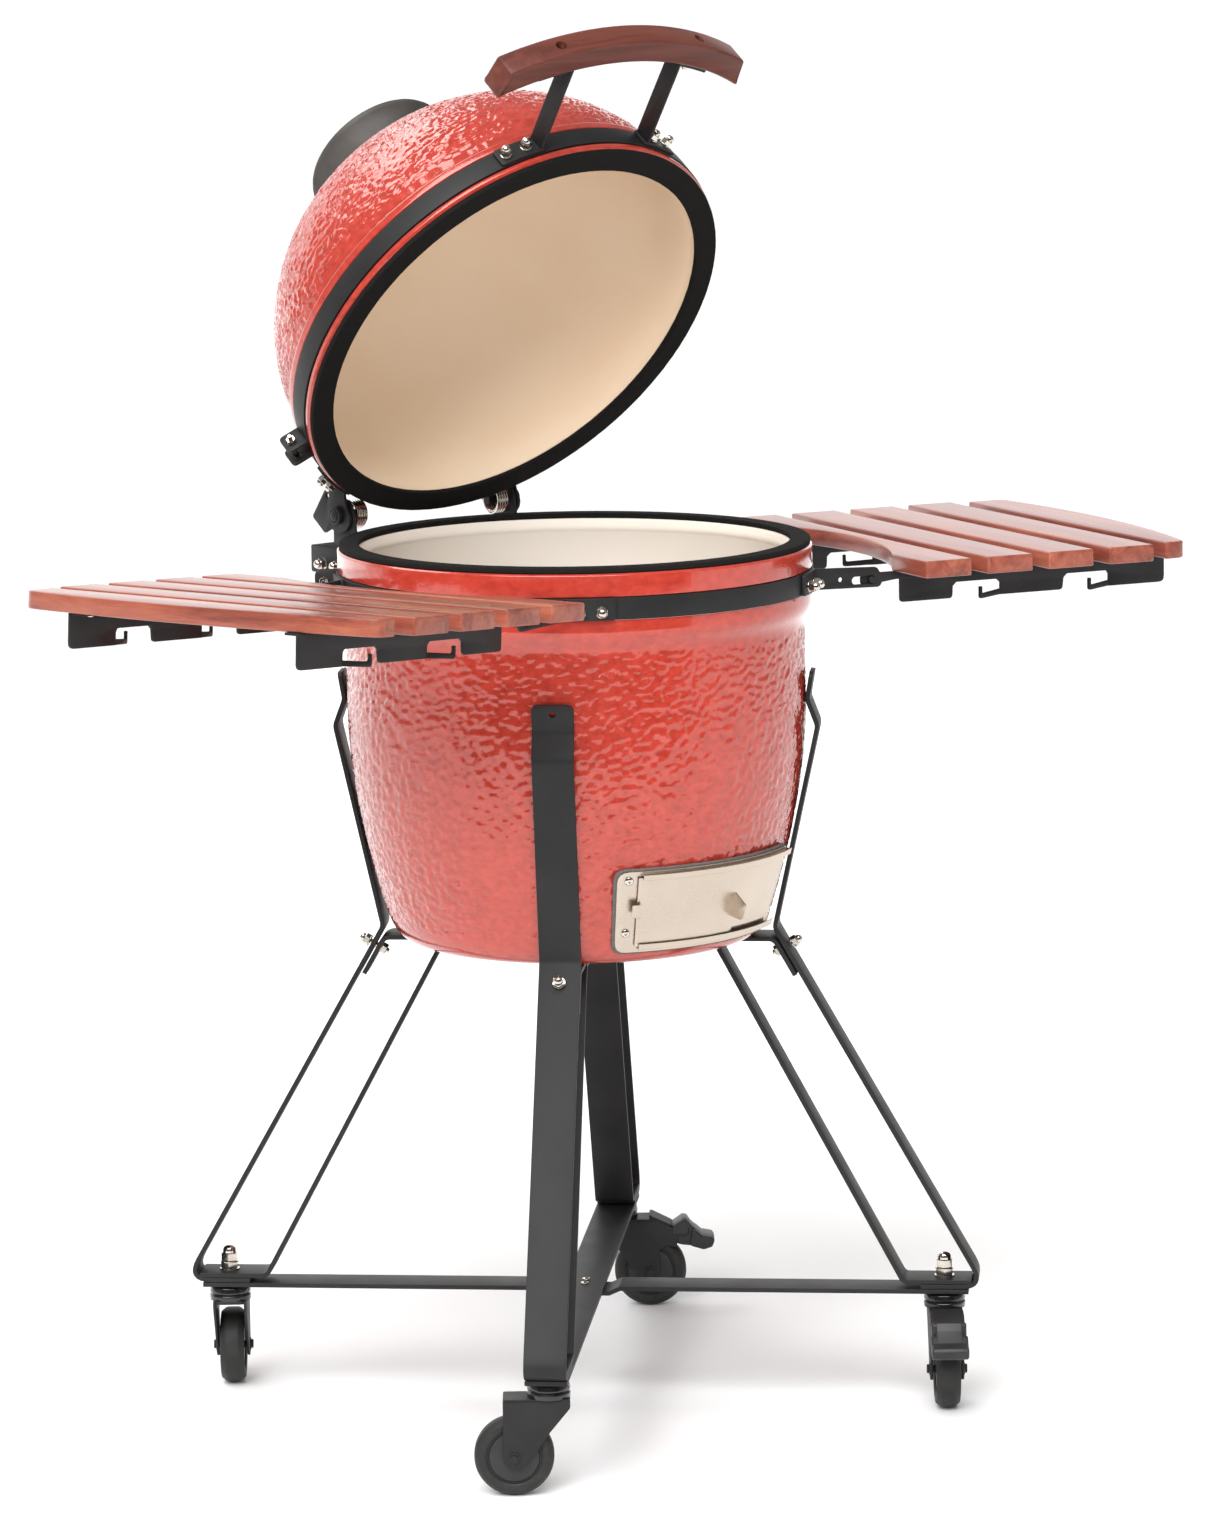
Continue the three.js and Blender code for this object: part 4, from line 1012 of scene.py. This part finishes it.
def make_draft():
    window = draft_outline(-18, 21, 499, 544, 4)
    screws = [(-26.4, 554), (-26.6, 501), (30.0, 552.5), (30.0, 500)]
    holes = [circle(arc_length(a, DRAFT_ROUND), z, 2.2, 16) for a, z in screws]
    sheet = plate(draft_outline(DRAFT_FROM, DRAFT_TO, DRAFT_LOW, DRAFT_HIGH, 11), 0, DRAFT_SHEET,
                  holes=[window, *holes], ease=0.35)
    parts = [wrapped(sheet, DRAFT_ROUND, cone)]
    for edge, inward in ((484, 1), (560, -1)):
        lip = [(DRAFT_SHEET - 0.2, edge), (6.9, edge), (6.9, edge + inward * 6), (5.7, edge + inward * 6),
               (5.7, edge + inward * 1.4), (DRAFT_SHEET - 0.2, edge + inward * 1.4)]
        rail = [(cone(z) + out, z) for out, z in fillet(lip, 0.6)]
        parts.append(lathe(rail, 60, RAIL_FROM, RAIL_SWEEP))
    piece("draft_plate", merged(*parts), stainless_painted_reflection, "stand", stands_for="draft_frame")

    pad_edge = draft_outline(DRAFT_FROM - 0.9, DRAFT_TO + 0.6, DRAFT_LOW - 1.5, DRAFT_HIGH + 2.6, 12)
    pad = wrapped(plate(pad_edge, -4.6, -0.15, holes=[window], ease=0.9), DRAFT_ROUND, cone, 2.0)
    for vertex in pad.verts:
        vertex.co += Vector((0, 0, 1)) * noise.noise(vertex.co / 2.4) * 0.7
        vertex.co += vertex.normal * noise.noise(vertex.co / 1.6) * 0.35
    piece("draft_felt", pad, grey_felt, "stand", stands_for="draft_gasket", sharp=60)

    heads = []
    for index, (azimuth, z) in enumerate(screws):
        rise = 2.6 if index < 2 else 1.6
        heads.append(copied(cross_screw(4.3, rise), on_cone(azimuth, z, DRAFT_SHEET)))
    piece("draft_screws", merged(*heads), chrome, "stand")

    first, last = arc_length(-24, DRAFT_ROUND), arc_length(27.5, DRAFT_ROUND)
    notch_from, notch_to = arc_length(8.2, DRAFT_ROUND), arc_length(25.3, DRAFT_ROUND)
    outline = fillet([(first, 487), (notch_from, 487), (notch_from, 495), (notch_to, 495), (notch_to, 487),
                      (last, 487), (last, 557), (first, 557)], 1.0)
    door = wrapped(plate(outline, DOOR_DEPTH, DOOR_DEPTH + DOOR_SHEET, ease=0.3), DRAFT_ROUND, cone)
    root = DOOR_DEPTH + 0.4
    handle = fillet([(root, 507, 0), (19.5, 503.5, 7), (22, 512, 7), (20.5, 519.5, 4), (root, 531, 0)], 4)
    grip = side_plate([(cone(z) + out, z) for out, z in handle], -0.6, 0.6, ease=0.25)
    stop = fillet([(root, 517, 0), (9.5, 516, 1.5), (9.5, 531, 1.5), (root, 532, 0)], 1)
    catch = side_plate([(cone(z) + out, z) for out, z in stop], -0.6, 0.6, ease=0.25)
    fold = wrapped(plate(draft_outline(-25.6, -23.2, 517.4, 530.6, 1), 8.3, 9.5, ease=0.3), DRAFT_ROUND, cone)
    piece("draft_slide", merged(door, moved(grip, turn(7 - 90)), moved(catch, turn(-23.4 - 90)), fold),
          stainless_painted_reflection, "draft_door", stands_for="draft_door")


# ---------------------------------------------------------------- stand

BAR_SECTION = rectangle(BAR_WIDTH, BAR, 0.9)
KNEE_R = 192.6
KNEE_Z = 475.4
LEG_PATH = [(333, 116.6), (396, 116.6, 14), (KNEE_R, KNEE_Z, 12), (236, 674.6, 14), (226.3, 700.5, 14),
            (230.7, 727.1)]


def bar_path(points, radius):
    return [Vector((x, 0, z)) for x, z in fillet(points, radius, closed=False, steps=8)]


def bent_bar(points, radius=10.0):
    return sweep(bar_path(points, radius), BAR_SECTION, Y)


def make_legs():
    path = bar_path(LEG_PATH, 12)
    corner = 6.0
    top, before = path[-1], path[-2]
    along = (top - before).normalized()
    path = path[:-1]
    widths = [1.0] * len(path)
    for k in range(7):
        angle = math.pi / 2 * k / 6
        path.append(top - along * corner * (1 - math.sin(angle)))
        widths.append((BAR_WIDTH - 2 * corner * (1 - math.cos(angle))) / BAR_WIDTH)
    facing = (top - before).cross(Y).normalized()
    hole_at = top - along * 9
    hole = rod(hole_at - facing * 8, hole_at + facing * 8, 3.0, 24)
    leg = carved(sweep(path, BAR_SECTION, Y, widths), hole)
    knee = Vector((205.8, 0, 455.8))
    slope = Vector((LEG_PATH[2][0] - LEG_PATH[1][0], 0, LEG_PATH[2][1] - LEG_PATH[1][1])).normalized()
    outward = Vector((slope.z, 0, -slope.x))
    for name, azimuth in CORNERS.items():
        place = turn(azimuth)
        piece("stand_leg_" + name, leg.copy(), black_steel, "stand", place, "leg_" + name)
        bolt = merged(
            copied(dome_nut(10), at(knee + outward * BAR / 2, outward)),
            rod(knee + outward * BAR / 2, knee - outward * 13, 2.9),
            copied(hex_nut(10, 5.5, 2.5), at(knee - outward * 9.6, -outward)),
        )
        piece("knee_bolt_" + name, bolt, chrome, "stand", place)
        nut = merged(copied(hex_nut(16, 11.6, 1), shift(0, 0, 123.8)),
                     copied(dome_nut(15), shift(0, 0, 131.4)))
        piece("stem_nut_" + name, nut, chrome, "stand", place @ shift(STEM_OUT))
    leg.free()


def leg_inside(z):
    """How far out a cradle bar reaches to meet the inside of a leg, at a height below the knee."""
    return KNEE_R - 4.2 + (KNEE_Z - z) * 0.567 - 3


STRUT_FOOT_R = 316
STRUT_FOOT_Z = 121.4


def strut_radius(z):
    """How far out the centre of a strut is at a height above its foot."""
    return STRUT_FOOT_R - (z - STRUT_FOOT_Z) * 0.537


def make_bars():
    base_z = 111.75
    straight = bent_bar([(-380, base_z), (380, base_z)])
    piece("base_bar_over", straight, black_steel, "stand", turn(45), "base_bar_front_left")
    dip = [(-380, base_z), (-36, base_z), (-25, base_z - BAR - 0.4), (25, base_z - BAR - 0.4), (36, base_z),
           (380, base_z)]
    piece("base_bar_under", bent_bar(dip, 4), black_steel, "stand", turn(135), "base_bar_front_right")
    screws = merged(*[copied(cross_screw(4.0, 2.4), shift(side * 8, 0, base_z + BAR / 2))
                      for side in (-1, 1)])
    piece("base_bar_screws", screws, chrome, "stand", turn(45))

    cradle_z = 464
    for name, azimuth, dips in (("front_left", 45, False), ("front_right", 135, True)):
        half = [(-leg_inside(428), 428), (-leg_inside(cradle_z), cradle_z, 10)]
        if dips:
            half += [(-38, cradle_z, 4), (-26, cradle_z - BAR - 0.4, 4)]
        path = half + [(-p[0], *p[1:]) for p in reversed(half)]
        parts = [bent_bar(path)]
        under = cradle_z - BAR + 0.2
        for side in (1, -1):
            strut = [(84, under), (strut_radius(under), under, 9), (STRUT_FOOT_R, STRUT_FOOT_Z, 9),
                     (383, STRUT_FOOT_Z)]
            parts.append(bent_bar([(side * p[0], *p[1:]) for p in strut]))
        piece("cradle_" + name + "_frame", merged(*parts), black_steel, "stand", turn(azimuth),
              "cradle_" + name)


# ---------------------------------------------------- casters, in a frame with the wheel towards +X

WHEEL_R = 37.5
WHEEL_OFFSET = 33
FORK_FRONT = [(-20, 94.5, 2), (-20, 86, 6), (0.6, 61, 10), (13, 42, 10), (21, 32, 10), (28, 27, 10),
              (37, 27, 9), (43, 33, 9)]
PLAIN_SIDE = [*FORK_FRONT, (43, 94.5, 2)]
BRAKED_SIDE = [*FORK_FRONT, (42, 62, 4), (50, 66, 3), (61, 64, 4), (62, 82, 4), (40, 94.5, 3)]


def make_wheel():
    half = 12.2
    tyre = fillet([(25.6, -10.6, 0.8), (27.2, -11.6, 1), (33, -half, 3), (WHEEL_R, -6.5, 6),
                   (WHEEL_R, 6.5, 6), (33, half, 3), (27.2, 11.6, 1), (25.6, 10.6, 0.8)], 1, steps=6)
    hub = fillet([(4.6, -10.8, 0.6), (9, -10.8, 1), (10, -9.6, 1), (23.4, -9.8, 0.8), (24.2, -8.6, 0.5),
                  (25.8, -8.6, 0), (25.8, 8.6, 0), (24.2, 8.6, 0.5), (23.4, 9.8, 0.8), (10, 9.6, 1),
                  (9, 10.8, 1), (4.6, 10.8, 0.6)], 1, steps=3)
    lie = shift(WHEEL_OFFSET, 0, 38) @ turn(90, "X")
    parts = [moved(lathe(outline, 96), lie) for outline in (tyre, hub)]
    for face in parts[1].faces:
        face.material_index = 1
    return merged(*parts)


def make_fork(braked):
    side = fillet(BRAKED_SIDE if braked else PLAIN_SIDE, 3, steps=6)
    hole = circle(WHEEL_OFFSET, 38, 3.6)
    parts = [side_plate(side, 14, 16.6, holes=[hole], ease=0.6),
             side_plate(side, -16.6, -14, holes=[hole], ease=0.6)]
    reach = 42 if braked else 43
    top = fillet([(-20, -16.6, 8), (reach, -16.6, 2), (reach, 16.6, 2), (-20, 16.6, 8)], 2, steps=6)
    parts.append(plate(top, 91.2, 94.6, ease=1.2, resolution=2))
    races = fillet([(0, 93.4, 0), (20.3, 93.4, 1), (20.6, 99.2, 2.6), (18.2, 100.4, 0.6), (20.6, 101.6, 2.6),
                    (19.4, 107.6, 2), (9, 108.7, 1), (5, 108.8, 0), (5, 131, 0.5), (0, 131, 0)], 1, steps=4)
    parts.append(lathe(races, 48))
    if braked:
        hood = fillet([(36, -16.4, 4), (62, -15, 4), (62, 15, 4), (36, 16.4, 4)], 3, steps=5)
        roof = plate(hood, 0, 2.6, ease=0.8)
        parts.append(moved(roof, shift(0, 0, 112) @ turn(26, "Y")))
    bm = merged(*parts)
    for face in bm.faces:
        centre = face.calc_center_median()
        face.material_index = int(95 < centre.z < 108.7 and math.hypot(centre.x, centre.y) < 21)
    return bm


def make_axle():
    ends = []
    for side in (-1, 1):
        ends.append(copied(merged(washer(6.4, 0, 0.9), hexagon(8, 0.9, 3.2)),
                           at((WHEEL_OFFSET, side * 16.6, 38), (0, side, 0))))
    return merged(rod((WHEEL_OFFSET, -17, 38), (WHEEL_OFFSET, 17, 38), 3.6, 20), *ends)


def make_pedal():
    x, z = 58, 75
    lever = [(x - 4, z - 5, 3), (x + 8, z - 9, 3), (x + 18, z - 10, 3), (x + 31, z - 14, 5),
             (x + 40, z - 11, 4), (x + 43, z - 4, 4), (x + 40, z, 3), (x + 29, z + 2, 4), (x + 18, z + 12, 4),
             (x + 13, z + 19, 3), (x + 9, z + 19, 3), (x - 3, z + 11, 5)]
    body = side_plate(fillet(lever, 3, steps=5), -13, 13, ease=1.6, resolution=3)
    pad = side_plate(fillet([(x + 17, z - 9.4, 3), (x + 31, z - 13.6, 5), (x + 40, z - 10.8, 4),
                             (x + 42.6, z - 4, 4), (x + 40, z - 0.2, 3), (x + 29, z + 1.8, 4),
                             (x + 19, z + 10.5, 4)], 3, steps=5), -18, 18, ease=2.2, resolution=3)
    hump = side_plate(fillet([(x - 2, z + 2, 4), (x + 16, z + 2, 4), (x + 14.6, z + 17.6, 4),
                              (x + 9, z + 18.8, 4), (x - 2.6, z + 10.6, 4)], 3, steps=5), -17, 17, ease=2.4,
                      resolution=3)
    return merged(body, pad, hump)


def make_casters():
    wheel, axle = make_wheel(), make_axle()
    forks = {False: make_fork(False), True: make_fork(True)}
    pedal = make_pedal()
    for name, (heading, braked) in CASTERS.items():
        azimuth = math.radians(CORNERS[name])
        place = shift(STEM_OUT * math.cos(azimuth), STEM_OUT * math.sin(azimuth)) @ turn(heading)
        piece("caster_yoke_" + name, forks[braked].copy(), [black_steel, gloss_black], "caster_" + name,
              place, "caster_fork_" + name)
        piece("caster_axle_" + name, axle.copy(), black_steel, "caster_" + name, place)
        piece("caster_tyre_" + name, wheel.copy(), [rubber, plastic], "wheel_" + name, place,
              "caster_wheel_" + name)
        if braked:
            piece("brake_lever_" + name, pedal.copy(), plastic, "pedal_" + name, place, "brake_pedal_" + name)


# ---------------------------------------------------------------- side shelves

SLAT_START = 273
SLAT_WIDTH = 50.3
SLAT_PITCH = 67.7
SLAT_FRONT = -212.6
SLAT_BACK = 203.3
BOWL_CLEARANCE = 308
OUTER_ARC = 1000
OUTER_MIDDLE = 40
ARM_Y = {"front": (-131.5, -1), "back": (141.5, 1)}


def slat_outline(index):
    inner = SLAT_START + index * SLAT_PITCH
    outer = inner + SLAT_WIDTH
    if index == 0:
        reach = math.acos(SLAT_START / BOWL_CLEARANCE)
        scallop = [(BOWL_CLEARANCE * math.cos(a), BOWL_CLEARANCE * math.sin(a), 0)
                   for a in (reach * (k / 16 - 1) for k in range(33))]
        return [(inner, SLAT_FRONT, 2), *scallop, (inner, SLAT_BACK, 2), (outer, SLAT_BACK, 2),
                (outer, SLAT_FRONT, 2)]
    if index < 4:
        return [(inner, SLAT_FRONT), (inner, SLAT_BACK), (outer, SLAT_BACK), (outer, SLAT_FRONT)]
    front, back = SLAT_FRONT + 8, SLAT_BACK - 8

    def bow(y):
        return outer + 2 - (y - OUTER_MIDDLE) ** 2 / (2 * OUTER_ARC)

    edge = [(bow(y), y, 0) for y in (back - 1 - (back - front - 2) * k / 30 for k in range(31))]
    corner_back, corner_front = (bow(back), back, 14), (bow(front), front, 14)
    inside = [p for p in edge if front + 22 < p[1] < back - 22]
    return [(inner, front, 2), (inner, back, 2), corner_back, *inside, corner_front]


HOOK_ROOTS = (400.4, 522.9)
HOOK_LENGTH = 31
HOOK_BEND = 21


def bent_hook(root, y, toward):
    """A finger of the sheet, bent outwards, that ends in an upturned tip."""
    tip = -HOOK_LENGTH
    outline = fillet([(2, 788.1, 0.5), (2, 793.8, 0.5), (-2, 793.6, 1), (tip + 3.5, 791.8, 2),
                      (tip + 3.5, 799, 1.2), (tip, 799, 1.2), (tip, 786.8, 3), (-3, 788.05, 2)], 1)
    finger = side_plate(outline, -SHEET / 2 + 0.1, SHEET / 2 - 0.1, ease=0.5)
    return moved(finger, shift(root, y) @ turn(-toward * HOOK_BEND))


def bracket_outline():
    low, notch, top = 788, 803.6, SLAT_TOP - SLAT_THICK - 0.3
    points = [(246, 808.5, 2), (264, 808.5), (284, 811), (288.8, 811, 1), (288.8, low, 4), (347, low, 4),
              (347.6, 800, 2), (351.5, notch, 2), (396.7, notch, 3), (HOOK_ROOTS[0], 800, 2),
              (HOOK_ROOTS[0], low, 0.5), (470.5, low, 4), (472, 800, 2), (476, notch, 2), (521, notch, 3),
              (HOOK_ROOTS[1], 800, 2), (HOOK_ROOTS[1], low, 0.5)]
    return points + [(586.7, low, 6), (586.7, top, 1), (288.8, top, 1), (284, 819, 2), (262, 819, 3),
                     (246, 819, 4)]


def make_shelves():
    for name, side in (("right", 1), ("left", -1)):
        body, board, fixed = "shelf_" + name, shelf_board(side), shelf_frame(side)
        mirror = Matrix.Diagonal((side, 1, 1, 1))
        for index in range(5):
            outline = fillet(slat_outline(index), 2.5)
            slat = plate(outline, SLAT_TOP - SLAT_THICK, SLAT_TOP, ease=1.7, resolution=3)
            piece(f"wood_slat_{name}_{index + 1}", moved(slat, mirror), slat_wood[side], body, board,
                  f"slat_{name}_{index + 1}", sharp=40)
        for end, (y, toward) in ARM_Y.items():
            make_shelf_arm(name, side, end, y, toward, fixed, mirror)
            make_shelf_bracket(name, side, end, y - toward * (SHEET + 0.5), toward, body, board, mirror)


def make_shelf_arm(name, side, end, y, toward, fixed, mirror):
    inner_end = math.sqrt(BRACKET_INNER ** 2 - y ** 2) + 0.6
    outline = fillet([(inner_end, 806.9, 0), (264.8, 805.2, 5), (268, 811, 4), (267, 817, 4), (261.7, 825, 5),
                      (inner_end, 827.6, 0)], 3)
    arm = side_plate(outline, y - SHEET / 2, y + SHEET / 2, holes=[oblong(238, 256, SHELF_PIN.z, 3.8),
                                                                 circle(222, 815, 2.4, 16)], ease=0.5)
    root = math.degrees(math.atan2(y, math.sqrt(BRACKET_OUTER ** 2 - y ** 2)))
    foot = curved_foot(root + 90 - toward * 0.6, root + 90 + toward * 12, *BASE_BAND)
    piece(f"shelf_hanger_{name}_{end}", moved(merged(arm, foot), mirror), black_steel, "stand", fixed,
          f"shelf_arm_{name}_{end}")
    bolts = [copied(dome_nut(9.5), on_band(root + 90 + toward * along, SHELF_BOLT_Z)) for along in (3.6, 8.6)]
    bolts = [moved(bolt, mirror) for bolt in bolts]
    piece(f"shelf_hanger_bolts_{name}_{end}", merged(*bolts), chrome, "stand", fixed)


def make_shelf_bracket(name, side, end, y, toward, body, board, mirror):
    top = SLAT_TOP - SLAT_THICK - 0.3
    sheet = side_plate(fillet(bracket_outline(), 2), y - SHEET / 2, y + SHEET / 2, ease=0.5)
    inward = -toward
    near, far = sorted((y - inward * SHEET / 2, y + inward * 16))
    flange = plate(fillet([(289.6, near), (586, near), (586, far), (289.6, far)], 3), top - 2.4, top,
                   ease=0.5)
    hooks = [bent_hook(root, y, toward) for root in HOOK_ROOTS]
    stub = rod((SHELF_PIN.x, y, SHELF_PIN.z), (SHELF_PIN.x, y + toward * 8, SHELF_PIN.z), 3.2, 20)
    piece(f"shelf_rail_{name}_{end}", moved(merged(sheet, flange, stub, *hooks), mirror), black_steel, body,
          board, f"shelf_bracket_{name}_{end}")
    screws = []
    for index in range(5):
        x = SLAT_START + index * SLAT_PITCH + SLAT_WIDTH / 2 + (6 if index == 0 else 0)
        screws.append(copied(cross_screw(3.6, 2.0), at((x, y + inward * 9, top - 2.4), (0, 0, -1))))
    piece(f"shelf_screws_{name}_{end}", moved(merged(*screws), mirror), chrome, body, board)


# ---------------------------------------------------------------- the whole grill

make_bowl()
make_dome()
make_gasket("bowl_felt_ring", RIM_INNER, BOWL_TOP + 0.3, BOWL_TOP + 0.3 + FELT, "stand", HERE,
            "base_gasket")
make_gasket("lid_felt_ring", RIM_INNER - 4, LID_BOTTOM - 0.3 - FELT, LID_BOTTOM - 0.3, "lid", LID,
            "lid_gasket")
make_band("bowl_band", BASE_BAND, -131, 9, "stand", HERE, "base_band", False)
make_band("dome_band", LID_BAND, -127.2, 20, "lid", LID, "lid_band", True)
make_hinge()
make_handle()
make_vent()
make_inside()
make_draft()
make_legs()
make_bars()
make_casters()
make_shelves()

coal_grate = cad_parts["charcoal_grate"]
coal_grate.data.materials.clear()
coal_grate.data.materials.append(grate_iron)
eased = coal_grate.modifiers.new("eased edges", "BEVEL")
eased.width = 0.8 * MM
eased.segments = 2


# ---------------------------------------------------------------- floor, light and camera

def make_floor():
    bpy.ops.mesh.primitive_plane_add(size=400, location=(0, 0, -0.0005))
    floor = bpy.context.object
    floor.name = "studio_floor"
    r = Recipe("studio_paper", Roughness=0.8)
    r.color(r.ramp(r.noise(3, 2, 0.5), (0.3, (0.885, 0.885, 0.885)), (0.7, (0.895, 0.895, 0.895))))
    floor.data.materials.append(r.material)


def soft_box(name, location, target, width, height, power):
    light = bpy.data.lights.new(name, "AREA")
    light.shape = "RECTANGLE"
    light.size = width
    light.size_y = height
    light.energy = power
    return aim(name, light, location, target)


def wide_sun(name, location, target, strength, spread):
    light = bpy.data.lights.new(name, "SUN")
    light.energy = strength
    light.angle = math.radians(spread)
    aim(name, light, location, target)


def aim(name, light, location, target):
    obj = bpy.data.objects.new(name, light)
    obj.location = location
    obj.rotation_euler = (Vector(target) - Vector(location)).to_track_quat("-Z", "Y").to_euler()
    bpy.context.scene.collection.objects.link(obj)
    return obj


def make_light():
    world = bpy.data.worlds.new("studio")
    bpy.context.scene.world = world
    world.use_nodes = True
    world.node_tree.nodes["Background"].inputs["Color"].default_value = (1, 0.99, 0.975, 1)
    world.node_tree.nodes["Background"].inputs["Strength"].default_value = 0.3
    middle = (0, 0, 0.7)
    wide_sun("overhead", (-1.5, -1.2, 3.2), middle, 3.75, 56)
    soft_box("high_back", (-0.4, 2.6, 3.9), (0, 0, 1.1), 3.0, 1.4, 48)
    soft_box("low_front", (-2.4, -4.2, 1.0), (0, 0, 1.1), 2.0, 1.5, 34)
    soft_box("front_left", (-3.4, -2.0, 2.6), middle, 0.9, 1.6, 42)
    backdrop = soft_box("backdrop", (1.6, 4.6, 1.9), (0, 0, 1.1), 9.0, 3.6, 110)
    backdrop.visible_camera = False
    make_flag((-1.5, -1.85, 1.3), 7.0, 2.6)
    make_shell(80)


def make_flag(location, width, height):
    """A black cloth beside the camera, seen only in reflections, for the glaze to mirror."""
    bpy.ops.mesh.primitive_plane_add(size=1, location=location)
    flag = bpy.context.object
    flag.name = "studio_black_cloth"
    facing = Vector((location[0], location[1], 0))
    faced = facing.to_track_quat("Z", "Y").to_matrix().to_4x4()
    flag.data.transform(faced @ Matrix.Diagonal((width, height, 1, 1)))
    r = Recipe("black_cloth", Roughness=0.9)
    r.color(r.ramp(r.noise(300, 3, 0.6), (0.3, (0.012, 0.012, 0.012)), (0.7, (0.02, 0.02, 0.02))))
    flag.data.materials.append(r.material)
    flag.visible_camera = False
    flag.visible_diffuse = False
    flag.visible_shadow = False


def make_shell(radius):
    """A white shell far beyond the object, seen only by the camera, so that low views end in white."""
    bpy.ops.mesh.primitive_uv_sphere_add(segments=64, ring_count=32, radius=radius)
    shell = bpy.context.object
    shell.name = "studio_white_shell"
    r = Recipe("white_backdrop", Roughness=0.9, Emission_Color=(1, 1, 1, 1), Emission_Strength=1.1)
    r.color(r.ramp(r.noise(0.3, 2, 0.5), (0.3, (0.88, 0.88, 0.88)), (0.7, (0.9, 0.9, 0.9))))
    shell.data.materials.append(r.material)
    shell.visible_diffuse = False
    shell.visible_glossy = False
    shell.visible_transmission = False
    shell.visible_shadow = False


def make_camera():
    """The photograph's viewpoint, in grill millimetres."""
    eye = Vector((-3667.10, -4491.03, 1573.30))
    target = Vector((22.2, -18.1, 638.3))
    roll = math.radians(-0.796)
    lens, film = 142.47, 36
    forward = (target - eye).normalized()
    right = forward.cross(Z).normalized()
    up = right.cross(forward)
    right, up = right * math.cos(roll) + up * math.sin(roll), up * math.cos(roll) - right * math.sin(roll)
    data = bpy.data.cameras.new("camera")
    data.lens = lens
    data.sensor_width = film
    data.sensor_height = film
    data.sensor_fit = "AUTO"
    data.clip_end = 100
    camera = bpy.data.objects.new("camera", data)
    axes = Matrix((right, up, -forward)).transposed().to_4x4()
    camera.matrix_world = Matrix.Translation(GRILL @ eye) @ axes
    bpy.context.scene.collection.objects.link(camera)
    bpy.context.scene.camera = camera


make_floor()
make_light()
make_camera()
bpy.context.scene.view_settings.view_transform = "Standard"
